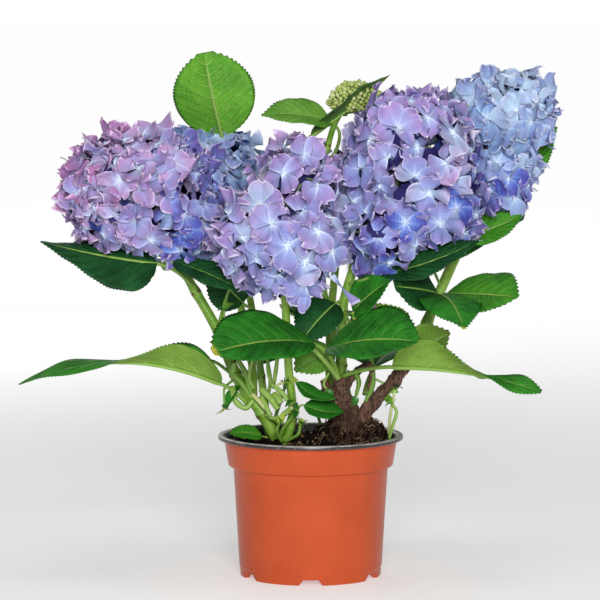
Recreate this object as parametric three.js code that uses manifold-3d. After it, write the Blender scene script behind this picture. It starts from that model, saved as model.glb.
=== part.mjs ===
// A potted mophead hydrangea: a terracotta-coloured grower's pot, peat, a woody crown, green and woody
// stems, seven flower heads and the leaves. Millimetres, +Z up. The origin is the middle of the pot's
// flat underside, and the plant's front looks along -Y.
import * as THREE from "three";
import { mergeVertices } from "three/addons/utils/BufferGeometryUtils.js";
import Module from "manifold-3d";

const wasm = await Module();
wasm.setup();

// ---- Driving dimensions ----------------------------------------------------------------------------
const GAP = 0.5; // clearance that touching pieces keep
const WELD = 0.02; // vertices closer than this become one
const SLIVER = 0.06; // how far a surface may move where thin facets are merged
const POT = {
  height: 109,
  lipRadius: 71.5,
  lipThickness: 3,
  collarTop: 66.6,
  collarFoot: 63.5,
  collarDrop: 23.3,
  bodyTop: 59.6,
  bodyFoot: 55.1,
  footRadius: 54.3,
  footHeight: 7,
  footInner: 49.3,
  padRadius: 28, // the flat middle of the underside that the pot also stands on
  recess: 4.9, // height of the underside between the middle pad and the foot ring
  wall: 2,
  segments: 32,
};
const NOTCH = { count: 6, bottom: 18, top: 12, height: 4.4, depth: 9 };
const DRAIN = { count: 6, radius: 4.5, ring: 38, sides: 8 };
const SOIL = { level: 100.5, segments: 24, slack: 0.8 }; // slack: room to the pot's wall
const MOUNDS = [
  { at: [14, -2], rise: 18, spread: 16 },
  { at: [45, 3], rise: 21, spread: 15 },
  { at: [-26, -4], rise: 5, spread: 14 },
];
const LEAF = { half: 1.1, stalk: 1.4, widest: 0.43, point: 1.1, stalkSteps: 2, bladeSteps: 7, across: 2 };
const LIMB = { sides: 6 };
const LOBE = { finest: 2, perFacet: 20 }; // a lobe's facets follow its size

const COLOURS = {
  terracotta: [0xb9532f, 0.42],
  peat: [0x2a1c14, 0.95],
  bark: [0x5d4132, 0.85],
  green: [0x7fa648, 0.5],
  leaf: [0x2c7a2f, 0.45],
  lit: [0x63a83a, 0.5],
  pale: [0x9bbf63, 0.6],
  bud: [0xc6d46a, 0.6],
  lilac: [0xa892cf, 0.65],
  lavender: [0x9a93d6, 0.65],
  violet: [0x8478c8, 0.65],
  blue: [0x7d9bd6, 0.65],
};

// Flower heads, the ones in front first: each is cut clear of those before it.
const BLOOMS = {
  bloom_centre: {
    balls: [{ at: [-24, -55, 265], half: [55, 52, 51] }, { at: [-8, -48, 309], half: [38, 42, 33] }],
    colour: "lilac", phase: 0.4,
  },
  bloom_right: {
    balls: [
      { at: [75, -10, 321], half: [58, 56, 62] }, { at: [56, -28, 272], half: [43, 40, 38] },
      { at: [100, -6, 284], half: [38, 42, 36] },
    ],
    colour: "lavender", phase: 1.7,
  },
  bloom_left: {
    balls: [{ at: [-128, -5, 296], half: [71, 61, 54] }, { at: [-101, -8, 272], half: [40, 44, 34] }],
    colour: "lilac", phase: 2.9,
  },
  bloom_far_right: {
    balls: [
      { at: [151, 46, 356], half: [46, 52, 38] }, { at: [146, 40, 312], half: [34, 44, 44] },
      { at: [127, 38, 362], half: [23, 30, 26] },
    ],
    colour: "blue", phase: 4.1,
  },
  bloom_blue: { balls: [{ at: [-76, 56, 303], half: [50, 47, 46] }], colour: "blue", phase: 5.2 },
  bloom_back: { balls: [{ at: [27, 84, 283], half: [52, 46, 46] }], colour: "violet", phase: 6.3 },
  bud_head: { balls: [{ at: [36, 67, 364], half: [22, 18, 15] }], colour: "bud", phase: 0.9 },
};

// Stems: the points that each one passes, and its radius at both ends.
const STEMS = {
  crown: {
    via: [[31, 3, 101], [30, 2, 121], [24, -3, 139], [22, -4, 154]],
    radius: [12.5, 4.4], bark: true,
  },
  stem_left: {
    via: [[-21, -4, 97], [-37, -8, 126], [-56, -8, 153], [-72, -8, 191], [-90, -7, 223], [-112, -5, 261]],
    radius: [5.2, 2.9],
  },
  stem_blue: { via: [[-44, -6, 137], [-45, 8, 159], [-52, 24, 193], [-64, 44, 267]], radius: [3.1, 2.6] },
  stem_left_back: {
    via: [[-31, 13, 97], [-38, 20, 149], [-44, 24, 195], [-58, 40, 267]],
    radius: [3, 2.4],
  },
  stem_centre: { via: [[-22, -13, 97], [-14, -14, 125], [-17, -24, 165], [-20, -45, 231]], radius: [3.4, 2.9] },
  stem_right: {
    via: [[23, -4, 151], [24, -6, 183], [25, -8, 210], [36, -8, 249]],
    radius: [4.3, 3.4],
  },
  stem_woody: {
    via: [
      [37, 1, 119], [52, -3, 138], [69, -6, 157], [84, 0, 183], [100, 10, 219], [122, 30, 263],
      [144, 44, 295],
    ],
    radius: [5.2, 3.6],
    bark: true,
  },
  stem_back: { via: [[19, 18, 97], [15, 34, 147], [16, 50, 195], [22, 74, 251]], radius: [3.4, 2.8] },
  stem_bud: {
    via: [[36, 20, 97], [24, 28, 162], [9, 33, 225], [6, 32, 290], [16, 50, 338], [28, 64, 362]],
    radius: [2.8, 2],
  },
  stem_arch: {
    via: [[25, -3, 143], [38, -4, 160], [47, -2, 160], [45, 1, 129]],
    radius: [2.8, 2.2],
    bark: true,
  },
};

// Leaves. from: where the stalk leaves the stem; base and tip: the ends of the midrib; face: the way the
// upper side looks at the base; arch: rise of the midrib's middle along the face, and hump: straight up;
// roll: how far the face turns round the midrib, in degrees, and twist: the stretch of the midrib where it
// does; fold: how far each half lifts above flat, in degrees, foldTip: the same at the tip, and unfold: the
// stretch where it changes; widest: where along the midrib; point: how drawn out the tip is.
const LEAVES = {
  leaf_top_left: {
    from: [-64, 46, 261], base: [-68, 42, 335], tip: [-82, 34, 402], width: 65, face: [0.1, 1, 0.2],
    arch: -5, fold: 12, widest: 0.5, point: 0.62, tone: "lit",
  },
  leaf_top_mid: {
    from: [8, 33, 306], base: [17, 54, 347], tip: [-38, 40, 353], width: 40, face: [0.1, -0.5, 0.86],
    arch: 5, fold: 8, tone: "lit",
  },
  leaf_top_dark: {
    from: [10, 38, 318], base: [0, 48, 338], tip: [62, 66, 384], width: 40, face: [-0.68, 0.25, 0.69],
    arch: -1, fold: 6, tone: "leaf",
  },
  leaf_left_upper: {
    from: [-89, -8, 223], base: [-117, -16, 243], tip: [-204, -40, 261], width: 58, face: [0.1, -0.62, 0.78],
    arch: -2, roll: 12, fold: -16, widest: 0.22, tone: "leaf",
  },
  leaf_left_inner: {
    from: [-88, -9, 223], base: [-104, -28, 245], tip: [-49, -60, 224], width: 28, face: [0.2, -0.6, 0.75],
    arch: 3, fold: 4, tone: "leaf",
  },
  leaf_left_low: {
    from: [-49, -10, 134], base: [-68, -18, 151], tip: [-221, -46, 153], width: 46, face: [0, 0.1, 1],
    arch: 2, hump: 15, roll: -18, twist: [0.45, 0.8], fold: 56, foldTip: 0, unfold: [0.15, 0.5],
    widest: 0.25, point: 1, tone: "pale",
  },
  leaf_left_shred: {
    from: [-51, -8, 145], base: [-54, -12, 148], tip: [-64, -15, 131], width: 11, face: [-0.6, -0.6, 0.5],
    arch: 2, fold: 20, tone: "leaf",
  },
  leaf_front_left: {
    from: [21, -9, 155], base: [2, -40, 184], tip: [-73, -90, 182], width: 58, face: [-0.06, -0.66, 0.75],
    arch: 7, fold: 12, widest: 0.66, point: 0.85, tone: "leaf",
  },
  leaf_front_right: {
    from: [22, -10, 173], base: [12, -34, 179], tip: [80, -76, 189], width: 58, face: [-0.1, -0.6, 0.79],
    arch: 6, fold: 12, widest: 0.62, point: 0.9, tone: "leaf",
  },
  leaf_right_low: {
    from: [24, -8, 155], base: [62, -25, 165], tip: [174, -50, 148], width: 50, face: [0.1, 0.3, 1],
    arch: 1, hump: 4, roll: 52, twist: [0.5, 0.95], fold: 46, foldTip: 0, unfold: [0.25, 0.6],
    widest: 0.28, point: 0.75, tone: "pale",
  },
  leaf_right_mid: {
    from: [102, 8, 213], base: [104, -10, 219], tip: [156, -54, 220], width: 50, face: [0, -0.66, 0.75],
    arch: 2, fold: 3, widest: 0.6, tone: "lit",
  },
  leaf_right_droop: {
    from: [100, 7, 211], base: [98, -12, 218], tip: [114, -84, 199], width: 46, face: [0, -0.15, 1],
    arch: 8, fold: -5, tone: "leaf",
  },
  leaf_right_dark: {
    from: [97, 5, 208], base: [97, -6, 219], tip: [63, -40, 227], width: 42, face: [0.05, -0.85, 0.5],
    arch: 2, fold: 4, widest: 0.58, point: 0.75, tone: "leaf",
  },
  leaf_under_right: {
    from: [29, -10, 226], base: [52, -32, 235], tip: [127, -34, 261], width: 36, face: [-0.3, -0.55, 0.78],
    arch: -3, fold: 4, tone: "leaf",
  },
  leaf_right_edge: {
    from: [112, 22, 245], base: [116, 12, 260], tip: [163, 14, 277], width: 26, face: [0.3, -0.75, 0.6],
    arch: -2, fold: 6, tone: "lit",
  },
  leaf_far_right: {
    from: [132, 40, 267], base: [148, 60, 286], tip: [194, 72, 343], width: 26, face: [-0.3, -0.9, 0.2],
    arch: -4, fold: 8, tone: "lit",
  },
  leaf_mid_hanging: {
    from: [24, -8, 213], base: [19, -17, 212], tip: [-8, -36, 183], width: 38, face: [-0.3, -0.85, 0.45],
    arch: 4, fold: 10, tone: "leaf",
  },
  leaf_mid_right: {
    from: [26, -9, 201], base: [32, -18, 206], tip: [60, -42, 232], width: 32, face: [-0.3, -0.8, 0.5],
    arch: 3, fold: 12, tone: "leaf",
  },
  leaf_pale_right: {
    from: [82, -6, 177], base: [78, -14, 177], tip: [106, -18, 190], width: 36, face: [-0.2, 0.85, 0.5],
    arch: -2, fold: 8, tone: "pale",
  },
  leaf_pale_mid: {
    from: [77, -6, 173], base: [70, -10, 183], tip: [47, -16, 212], width: 36, face: [0.2, 0.8, 0.5],
    arch: -2, fold: 8, tone: "pale",
  },
  leaf_low_mid: {
    from: [21, -4, 165], base: [17, 6, 173], tip: [-12, -2, 158], width: 36, face: [0.1, -0.6, 0.8],
    arch: 3, fold: 6, tone: "lit",
  },
  leaf_ground_mid: {
    from: [-14, -15, 133], base: [-11, -20, 152], tip: [19, -28, 140], width: 20, face: [0, -0.32, 0.95],
    arch: -5, fold: 8, tone: "leaf",
  },
  leaf_ground_low: {
    from: [-11, -16, 127], base: [-5, -18, 134], tip: [25, -24, 129], width: 24, face: [0, -0.5, 0.86],
    arch: -2, fold: 6, tone: "leaf",
  },
  leaf_soil: {
    from: [-33, -22, 109], base: [-37, -25, 111], tip: [-62, -32, 114], width: 19, face: [0, -0.5, 0.86],
    arch: 2, fold: 4, tone: "lit",
  },
  leaf_left_behind: {
    from: [-47, 23, 205], base: [-52, 14, 209], tip: [-80, 2, 237], width: 36, face: [-0.2, -0.85, 0.45],
    arch: 3, fold: 8, tone: "leaf",
  },
  leaf_back_low_left: {
    from: [-38, 18, 141], base: [-40, 52, 157], tip: [-66, 128, 155], width: 60, face: [0, 0.3, 0.95],
    arch: 10, fold: 8, tone: "leaf",
  },
  leaf_back_low_right: {
    from: [42, 26, 137], base: [50, 56, 155], tip: [86, 130, 151], width: 60, face: [0, 0.3, 0.95],
    arch: 10, fold: 8, tone: "leaf",
  },
  leaf_back_mid: {
    from: [16, 42, 171], base: [12, 72, 187], tip: [-2, 148, 179], width: 62, face: [0, 0.35, 0.93],
    arch: 10, fold: 6, tone: "leaf",
  },
  leaf_back_left: {
    from: [-54, 28, 205], base: [-74, 62, 221], tip: [-118, 128, 225], width: 60, face: [-0.1, 0.4, 0.9],
    arch: 9, fold: 6, tone: "leaf",
  },
  leaf_back_right: {
    from: [107, 16, 231], base: [108, 52, 238], tip: [122, 124, 243], width: 58, face: [0, 0.4, 0.9],
    arch: 9, fold: 6, tone: "leaf",
  },
  leaf_back_blue: {
    from: [-62, 42, 251], base: [-82, 76, 253], tip: [-130, 124, 277], width: 54, face: [-0.3, 0.2, 0.93],
    arch: -4, fold: 8, tone: "leaf",
  },
  leaf_back_far: {
    from: [128, 36, 261], base: [134, 82, 260], tip: [158, 126, 290], width: 54, face: [0.1, 0, 1],
    arch: -5, fold: 8, tone: "leaf",
  },
};

// ---- Solids ----------------------------------------------------------------------------------------
const vector = (list) => new THREE.Vector3(...list);

// A geometry as a manifold solid.
function solid(geometry) {
  const plain = geometry.index ? geometry.toNonIndexed() : geometry.clone();
  plain.deleteAttribute("normal");
  plain.deleteAttribute("uv");
  const merged = mergeVertices(plain, 1e-4);
  return new wasm.Manifold(
    new wasm.Mesh({
      numProp: 3,
      vertProperties: new Float32Array(merged.attributes.position.array),
      triVerts: new Uint32Array(merged.index.array),
    }),
  );
}

// A manifold solid as a welded geometry without collapsed triangles.
function geometryOf(body) {
  const mesh = body.simplify(SLIVER).getMesh();
  const loose = new THREE.BufferGeometry();
  loose.setAttribute("position", new THREE.BufferAttribute(new Float32Array(mesh.vertProperties), 3));
  loose.setIndex(new THREE.BufferAttribute(new Uint32Array(mesh.triVerts), 1));
  const welded = mergeVertices(loose, WELD);
  const kept = [];
  for (let i = 0; i < welded.index.count; i += 3) {
    const [a, b, c] = [0, 1, 2].map((k) => welded.index.getX(i + k));
    if (a !== b && b !== c && c !== a) kept.push(a, b, c);
  }
  welded.setIndex(kept);
  const flat = welded.toNonIndexed();
  flat.computeVertexNormals();
  return flat;
}

// Moves every vertex of a geometry to the place that a function gives it.
function reshape(geometry, place) {
  const position = geometry.attributes.position;
  for (let i = 0; i < position.count; i += 1) {
    const to = place(position.getX(i), position.getY(i), position.getZ(i));
    position.setXYZ(i, to.x, to.y, to.z);
  }
  return geometry;
}

// A tapering limb along a smooth curve.
function limb(points, radius, sides, steps, grow) {
  const curve = new THREE.CatmullRomCurve3(points);
  const tube = new THREE.CylinderGeometry(1, 1, 1, sides, steps);
  return solid(
    reshape(tube, (x, y, z) => {
      const t = y + 0.5;
      const along = curve.getTangentAt(t);
      const side = new THREE.Vector3(1, 0, 0).addScaledVector(along, -along.x).normalize();
      const other = new THREE.Vector3().crossVectors(side, along);
      const thick = THREE.MathUtils.lerp(radius[0], radius[1], t) + grow;
      return curve
        .getPointAt(t)
        .addScaledVector(along, 2 * y * grow)
        .addScaledVector(side, x * thick)
        .addScaledVector(other, z * thick);
    }),
  );
}

// An uneven rounded mass.
function mass({ balls, phase }, grow) {
  const lumps = (x, y, z) =>
    Math.sin(5 * x + phase) * Math.cos(4 * y - phase) + 0.6 * Math.sin(6 * z + 2 * phase) * Math.cos(5 * x);
  const lobes = balls.map(({ at, half }) => {
    const detail = Math.min(LOBE.finest, Math.round(half[0] / LOBE.perFacet));
    return solid(
      reshape(new THREE.IcosahedronGeometry(1, detail), (x, y, z) => {
        const swell = 0.97 + 0.03 * lumps(x, y, z);
        return new THREE.Vector3(
          at[0] + x * (half[0] * swell + grow),
          at[1] + y * (half[1] * swell + grow),
          at[2] + z * (half[2] * swell + grow),
        );
      }),
    );
  });
  return lobes.reduce((whole, lobe) => whole.add(lobe));
}

// How wide a leaf is along its midrib, from 0 to 1: rounded at the base and drawn out at the tip.
function outline(t, { widest, point }) {
  if (t < widest) return Math.sin((Math.PI / 2) * (t / widest) ** 0.62);
  return Math.max(1 - ((t - widest) / (1 - widest)) ** 2, 0) ** point;
}

// A point of a leaf's middle line with its direction there, from the stem (0) through the base to the tip
// (1), and how far along the blade it is, which is under 0 on the stalk.
function spine({ from, base, tip, arch, hump = 0 }, up) {
  const start = vector(base);
  const end = vector(tip);
  const middle = start.clone().add(end).multiplyScalar(0.5).addScaledVector(up, 2 * arch);
  middle.z += 2 * hump;
  const outset = start.clone().sub(middle).setLength(0.4 * start.distanceTo(vector(from)));
  const stalk = new THREE.QuadraticBezierCurve3(vector(from), start.clone().add(outset), start);
  const blade = new THREE.QuadraticBezierCurve3(start, middle, end);
  const share = LEAF.stalkSteps / (LEAF.stalkSteps + LEAF.bladeSteps);
  return (u) => {
    const t = (u - share) / (1 - share);
    const [curve, at] = t < -1e-6 ? [stalk, u / share] : [blade, Math.max(t, 0)];
    return { point: curve.getPoint(at), along: curve.getTangent(at), t };
  };
}

// A flat block whose underside is split into triangles along the same diagonals as its upper side, so that
// the two stay apart where it is twisted.
function strip(steps, across) {
  const block = new THREE.BoxGeometry(1, 1, 1, steps, across, 1);
  const { start, count } = block.groups[5];
  for (let i = start; i < start + count; i += 6) {
    const [a, b, d, , c] = block.index.array.slice(i, i + 6);
    block.index.array.set([a, b, c, a, c, d], i);
  }
  return block;
}

// A leaf with its stalk: one thin strip along the middle line, widened, folded and rolled into a blade.
function leaf(row, grow) {
  const chord = vector(row.tip).sub(vector(row.base)).normalize();
  const up = vector(row.face).addScaledVector(chord, -vector(row.face).dot(chord)).normalize();
  const at = spine(row, up);
  const rooted = at(LEAF.stalkSteps / (LEAF.stalkSteps + LEAF.bladeSteps)).along;
  const { roll = 0, twist = [0, 1], fold, foldTip = fold, unfold = [0, 1] } = row;
  const change = (t, stretch) => THREE.MathUtils.smoothstep(t, ...stretch);
  const flat = up.clone().addScaledVector(rooted, -up.dot(rooted)).normalize();
  return solid(
    reshape(strip(LEAF.stalkSteps + LEAF.bladeSteps, LEAF.across), (x, y, z) => {
      const { point, along, t } = at(x + 0.5);
      const turn = new THREE.Quaternion().setFromUnitVectors(rooted, along);
      const rolled = THREE.MathUtils.degToRad(roll * change(t, twist));
      const lift = THREE.MathUtils.degToRad(THREE.MathUtils.lerp(fold, foldTip, change(t, unfold)));
      const normal = flat.clone().applyQuaternion(turn).applyAxisAngle(along, rolled);
      const side = new THREE.Vector3().crossVectors(normal, along);
      const half = t > 0 ? (row.width / 2) * outline(t, { ...LEAF, ...row }) : 0;
      const reach = Math.max(half, LEAF.stalk) + grow;
      const skin = normal.clone();
      if (y !== 0) skin.multiplyScalar(Math.cos(lift)).addScaledVector(side, -Math.sign(y) * Math.sin(lift));
      return point
        .addScaledVector(along, 2 * x * grow)
        .addScaledVector(side, 2 * y * reach * Math.cos(lift))
        .addScaledVector(normal, 2 * Math.abs(y) * reach * Math.sin(lift))
        .addScaledVector(skin, 2 * z * (LEAF.half + grow));
    }),
  );
}

// The pot: a lathe-turned shell with its foot ring notched and its floor drained.
function pot() {
  const p = POT;
  const stepZ = p.height - p.collarDrop;
  const profile = [
    [0, 0],
    [p.padRadius, 0],
    [p.padRadius + 2, p.recess],
    [p.footInner, p.recess],
    [p.footInner + 0.6, 0],
    [p.footRadius, 0],
    [p.bodyFoot, p.footHeight + 0.8],
    [p.bodyTop, stepZ - 1.2],
    [p.collarFoot, stepZ],
    [p.collarTop, p.height - p.lipThickness - 0.8],
    [p.lipRadius, p.height - p.lipThickness],
    [p.lipRadius - 0.8, p.height],
    [p.collarTop, p.height],
    [p.collarTop - p.wall, p.height - p.lipThickness],
    [p.collarFoot - p.wall, stepZ + p.wall],
    [p.bodyTop - p.wall, stepZ - 0.4],
    [p.bodyFoot - p.wall - 1, p.recess + p.wall],
    [p.padRadius, p.recess + p.wall],
    [p.padRadius - 2, p.wall],
    [0, p.wall],
  ];
  const turned = new THREE.LatheGeometry(profile.map(([r, z]) => new THREE.Vector2(r, z)), p.segments);
  let body = solid(turned.rotateX(Math.PI / 2));

  const gate = new THREE.Shape();
  gate.moveTo(-NOTCH.bottom / 2, -1);
  gate.lineTo(NOTCH.bottom / 2, -1);
  gate.lineTo(NOTCH.top / 2, NOTCH.height);
  gate.lineTo(-NOTCH.top / 2, NOTCH.height);
  for (let i = 0; i < NOTCH.count; i += 1) {
    const notch = new THREE.ExtrudeGeometry(gate, { depth: NOTCH.depth, bevelEnabled: false });
    notch.rotateX(Math.PI / 2).translate(0, -(POT.footRadius - NOTCH.depth + 2), 0);
    notch.rotateZ((2 * Math.PI * i) / NOTCH.count);
    body = body.subtract(solid(notch));
  }
  for (let i = 0; i < DRAIN.count; i += 1) {
    const hole = new THREE.CylinderGeometry(DRAIN.radius, DRAIN.radius, 6, DRAIN.sides);
    hole.rotateX(Math.PI / 2).translate(0, -DRAIN.ring, POT.recess + 1);
    hole.rotateZ((2 * Math.PI * (i + 0.5)) / DRAIN.count);
    body = body.subtract(solid(hole));
  }
  return body;
}

// The peat: it fills the pot to a little below the lip, and rises in mounds round the crown.
function soil(grow) {
  const p = POT;
  const stepZ = p.height - p.collarDrop;
  const inner = p.wall + SOIL.slack - grow;
  const rimRadius = p.collarTop - inner - 0.9;
  const rings = [0.82, 0.6, 0.38, 0.17];
  const profile = [
    [0, p.wall + GAP - grow],
    [p.padRadius - 2.6, p.wall + GAP - grow],
    [p.padRadius - 0.6, p.recess + p.wall + GAP - grow],
    [p.bodyFoot - inner - 1.2, p.recess + p.wall + GAP - grow],
    [p.bodyTop - inner - 0.2, stepZ - 0.4],
    [p.collarFoot - inner - 0.2, stepZ + p.wall + 0.3],
    [rimRadius, SOIL.level + grow],
    ...rings.map((share) => [rimRadius * share, SOIL.level + 1 + grow]),
    [0, SOIL.level + 1 + grow],
  ];
  const turned = new THREE.LatheGeometry(profile.map(([r, z]) => new THREE.Vector2(r, z)), SOIL.segments);
  const raised = reshape(turned.rotateX(Math.PI / 2), (x, y, z) => {
    const top = z > SOIL.level + 0.5 ? 1 : 0;
    const rise = MOUNDS.reduce((sum, { at, rise: height, spread }) => {
      const far = Math.hypot(x - at[0], y - at[1]) / spread;
      return sum + height * Math.exp(-far * far);
    }, 0);
    return new THREE.Vector3(x, y, z + top * rise);
  });
  return solid(raised);
}

// ---- Assembly --------------------------------------------------------------------------------------
const placed = [];

// Keeps the part of a solid that lies clear of all pieces placed before it.
function clearOf(body, name) {
  const meets = (a, b) => [0, 1, 2].every((k) => a.min[k] < b.max[k] && b.min[k] < a.max[k]);
  let rest = body;
  for (const { grown } of placed) {
    if (grown && meets(rest.boundingBox(), grown.boundingBox())) rest = rest.subtract(grown);
  }
  const bodies = rest.decompose().sort((a, b) => b.volume() - a.volume());
  if (!bodies.length) throw new Error(`${name} is buried in its neighbours`);
  return bodies[0];
}

function place(name, body, colour, grown) {
  placed.push({ name, body: placed.length ? clearOf(body, name) : body, colour, grown });
}

place("pot", pot(), "terracotta");
place("soil", soil(0), "peat", soil(GAP));
for (const [name, row] of Object.entries(BLOOMS)) place(name, mass(row, 0), row.colour, mass(row, GAP));
for (const [name, { via, radius, bark }] of Object.entries(STEMS)) {
  const points = via.map(vector);
  const steps = 2 * via.length - 1;
  const make = (grow) => limb(points, radius, LIMB.sides, steps, grow);
  place(name, make(0), bark ? "bark" : "green", make(GAP));
}
for (const [name, row] of Object.entries(LEAVES)) place(name, leaf(row, 0), row.tone, leaf(row, GAP));

const plant = new THREE.Group();
for (const { name, body, colour } of placed) {
  const [hex, roughness] = COLOURS[colour];
  const material = new THREE.MeshStandardMaterial({ color: hex, roughness, metalness: 0 });
  const mesh = new THREE.Mesh(geometryOf(body), material);
  mesh.name = name;
  plant.add(mesh);
}

export default plant;
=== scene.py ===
"""A potted mophead hydrangea: florets, leaves, stems, peat and pot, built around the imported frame."""
import math
import random

import bmesh
import bpy
import numpy as np
from mathutils import Matrix, Vector, noise


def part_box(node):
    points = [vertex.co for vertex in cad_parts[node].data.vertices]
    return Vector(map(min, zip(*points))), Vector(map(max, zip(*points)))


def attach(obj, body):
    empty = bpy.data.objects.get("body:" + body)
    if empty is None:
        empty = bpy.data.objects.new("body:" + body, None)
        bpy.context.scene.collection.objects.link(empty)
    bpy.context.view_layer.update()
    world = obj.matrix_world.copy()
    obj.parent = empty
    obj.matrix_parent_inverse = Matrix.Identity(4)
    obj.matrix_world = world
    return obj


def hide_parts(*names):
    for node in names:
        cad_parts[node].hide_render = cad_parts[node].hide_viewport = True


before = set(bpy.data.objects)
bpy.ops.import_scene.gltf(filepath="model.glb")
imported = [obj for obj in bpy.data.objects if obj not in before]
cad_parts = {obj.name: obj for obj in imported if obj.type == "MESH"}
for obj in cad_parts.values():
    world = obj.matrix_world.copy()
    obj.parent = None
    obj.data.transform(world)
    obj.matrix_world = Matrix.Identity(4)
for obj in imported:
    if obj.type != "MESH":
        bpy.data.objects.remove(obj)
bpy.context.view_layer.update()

MM = 0.001  # every size below is in millimetres, and pieces are scaled by this when they are finished
rng = random.Random(23)
GOLDEN_TURN = math.pi * (3 - math.sqrt(5))  # from each place on a spiral to the next
ALL_ROUND = 6.28  # a full turn, in radians, for pieces that are turned by chance

# ---- Camera ----------------------------------------------------------------------------------------
CAMERA_AT = (-8.2, -2500, 443)
CAMERA_DOWN = 5.26  # degrees below level
CAMERA_LENS = 196


# ---- Shaders ---------------------------------------------------------------------------------------
class Value:
    """A shader socket that arithmetic can be written with."""

    def __init__(self, shader, socket):
        self.shader, self.socket = shader, socket

    def maths(self, kind, one, two):
        return self.shader.add("ShaderNodeMath", {"operation": kind}, [one, two])

    def __add__(self, other):
        return self.maths("ADD", self, other)

    def __sub__(self, other):
        return self.maths("SUBTRACT", self, other)

    def __rsub__(self, other):
        return self.maths("SUBTRACT", other, self)

    def __mul__(self, other):
        return self.maths("MULTIPLY", self, other)

    def size(self):
        return self.maths("ABSOLUTE", self, 0)

    __radd__ = __add__
    __rmul__ = __mul__


class Shader:
    """A material with one Principled shader, and a method that adds any other node."""

    def __init__(self, name, **sockets):
        self.material = bpy.data.materials.new(name)
        self.material.use_nodes = True
        self.nodes = self.material.node_tree.nodes
        self.skin = self.nodes["Principled BSDF"]
        self.set(**sockets)

    def set(self, **sockets):
        """Sets the shader's sockets, written with _ for each space: a link for a Value, else a constant."""
        for name, value in sockets.items():
            self.feed(self.skin.inputs[name.replace("_", " ")], value)
        return self

    def feed(self, socket, value):
        if isinstance(value, Value):
            self.material.node_tree.links.new(value.socket, socket)
        else:
            socket.default_value = value

    def add(self, kind, settings=None, inputs=(), output=0):
        node = self.nodes.new(kind)
        for key, value in (settings or {}).items():
            setattr(node, key, value)
        pairs = inputs.items() if isinstance(inputs, dict) else enumerate(inputs)
        for key, value in pairs:
            self.feed(node.inputs[key], value)
        return Value(self, node.outputs[output])

    def mix(self, share, one, two):
        return self.add("ShaderNodeMix", {"data_type": "RGBA"}, {0: share, 6: one, 7: two}, 2)

    def step(self, value, low, high, to_low=0.0, to_high=1.0):
        """A smooth step of a value from low to high."""
        ends = {0: value, 1: low, 2: high, 3: to_low, 4: to_high}
        return self.add("ShaderNodeMapRange", {"interpolation_type": "SMOOTHSTEP"}, ends)

    def place(self, stretch=(1, 1, 1)):
        """Object coordinates in millimetres, stretched."""
        spot = self.add("ShaderNodeTexCoord", output="Object")
        scale = tuple(s / MM for s in stretch)
        return self.add("ShaderNodeVectorMath", {"operation": "MULTIPLY"}, [spot, scale])

    def noise(self, where, scale, detail=3.0, roughness=0.55):
        return self.add("ShaderNodeTexNoise", None,
                        {"Vector": where, "Scale": scale, "Detail": detail, "Roughness": roughness})

    def bump(self, height, distance, strength=1.0):
        rise = {"Height": height, "Distance": distance * MM, "Strength": strength}
        self.set(Normal=self.add("ShaderNodeBump", None, rise))


def linear(red, green, blue):
    """A colour given as the eye sees it, in 255ths, as a linear colour."""
    def one(c):
        c /= 255
        return c / 12.92 if c <= 0.04045 else ((c + 0.055) / 1.055) ** 2.4
    return (one(red), one(green), one(blue), 1.0)


def blend(one, two, share):
    return tuple(a + (b - a) * share for a, b in zip(one, two))


# ---- Meshes ----------------------------------------------------------------------------------------
def grid(bm, rows, cols, place, slot=0):
    """A grid whose corners go where place(u, v) says, u running along the rows from 0 to 1."""
    made = bmesh.ops.create_grid(bm, x_segments=rows, y_segments=cols, size=1, calc_uvs=True)["verts"]
    start = np.array([v.co[:2] for v in made])
    for vert, spot in zip(made, place((start[:, 0] + 1) / 2, (start[:, 1] + 1) / 2)):
        vert.co = spot
    faces = list({face for vert in made for face in vert.link_faces})
    for face in faces:
        face.material_index = slot
        face.smooth = True
    return made, faces


def new_mesh():
    bm = bmesh.new()
    bm.loops.layers.uv.new("UVMap")
    return bm


def mesh_of(name, bm):
    mesh = bpy.data.meshes.new(name)
    bm.to_mesh(mesh)
    bm.free()
    return mesh


def add_object(name, data):
    obj = bpy.data.objects.new(name, data)
    bpy.context.scene.collection.objects.link(obj)
    return obj


def unit(vectors):
    return vectors / np.linalg.norm(vectors, axis=-1, keepdims=True)


def smooth_path(points, count):
    """A smooth path through points, as count places (Catmull-Rom)."""
    p = np.array(points, float)
    p = np.vstack([2 * p[0] - p[1], p, 2 * p[-1] - p[-2]])
    at = np.linspace(0, len(points) - 1, count)
    k = np.minimum(at.astype(int), len(points) - 2)
    t = (at - k)[:, None]
    a, b, c, d = p[k], p[k + 1], p[k + 2], p[k + 3]
    return b + 0.5 * t * (c - a + t * (2 * a - 5 * b + 4 * c - d + t * (3 * (b - c) + d - a)))


def carried(path):
    """The directions along a path and across it, carried along without twisting."""
    along = unit(np.gradient(path, axis=0))
    side = [np.cross(along[0], (0.0, 1.0, 0.0) if abs(along[0][1]) < 0.8 else (1.0, 0.0, 0.0))]
    for direction in along:
        last = side[-1]
        side.append(unit(last - direction * (last @ direction)))
    side = np.array(side[1:])
    return along, side, np.cross(along, side)


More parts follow.
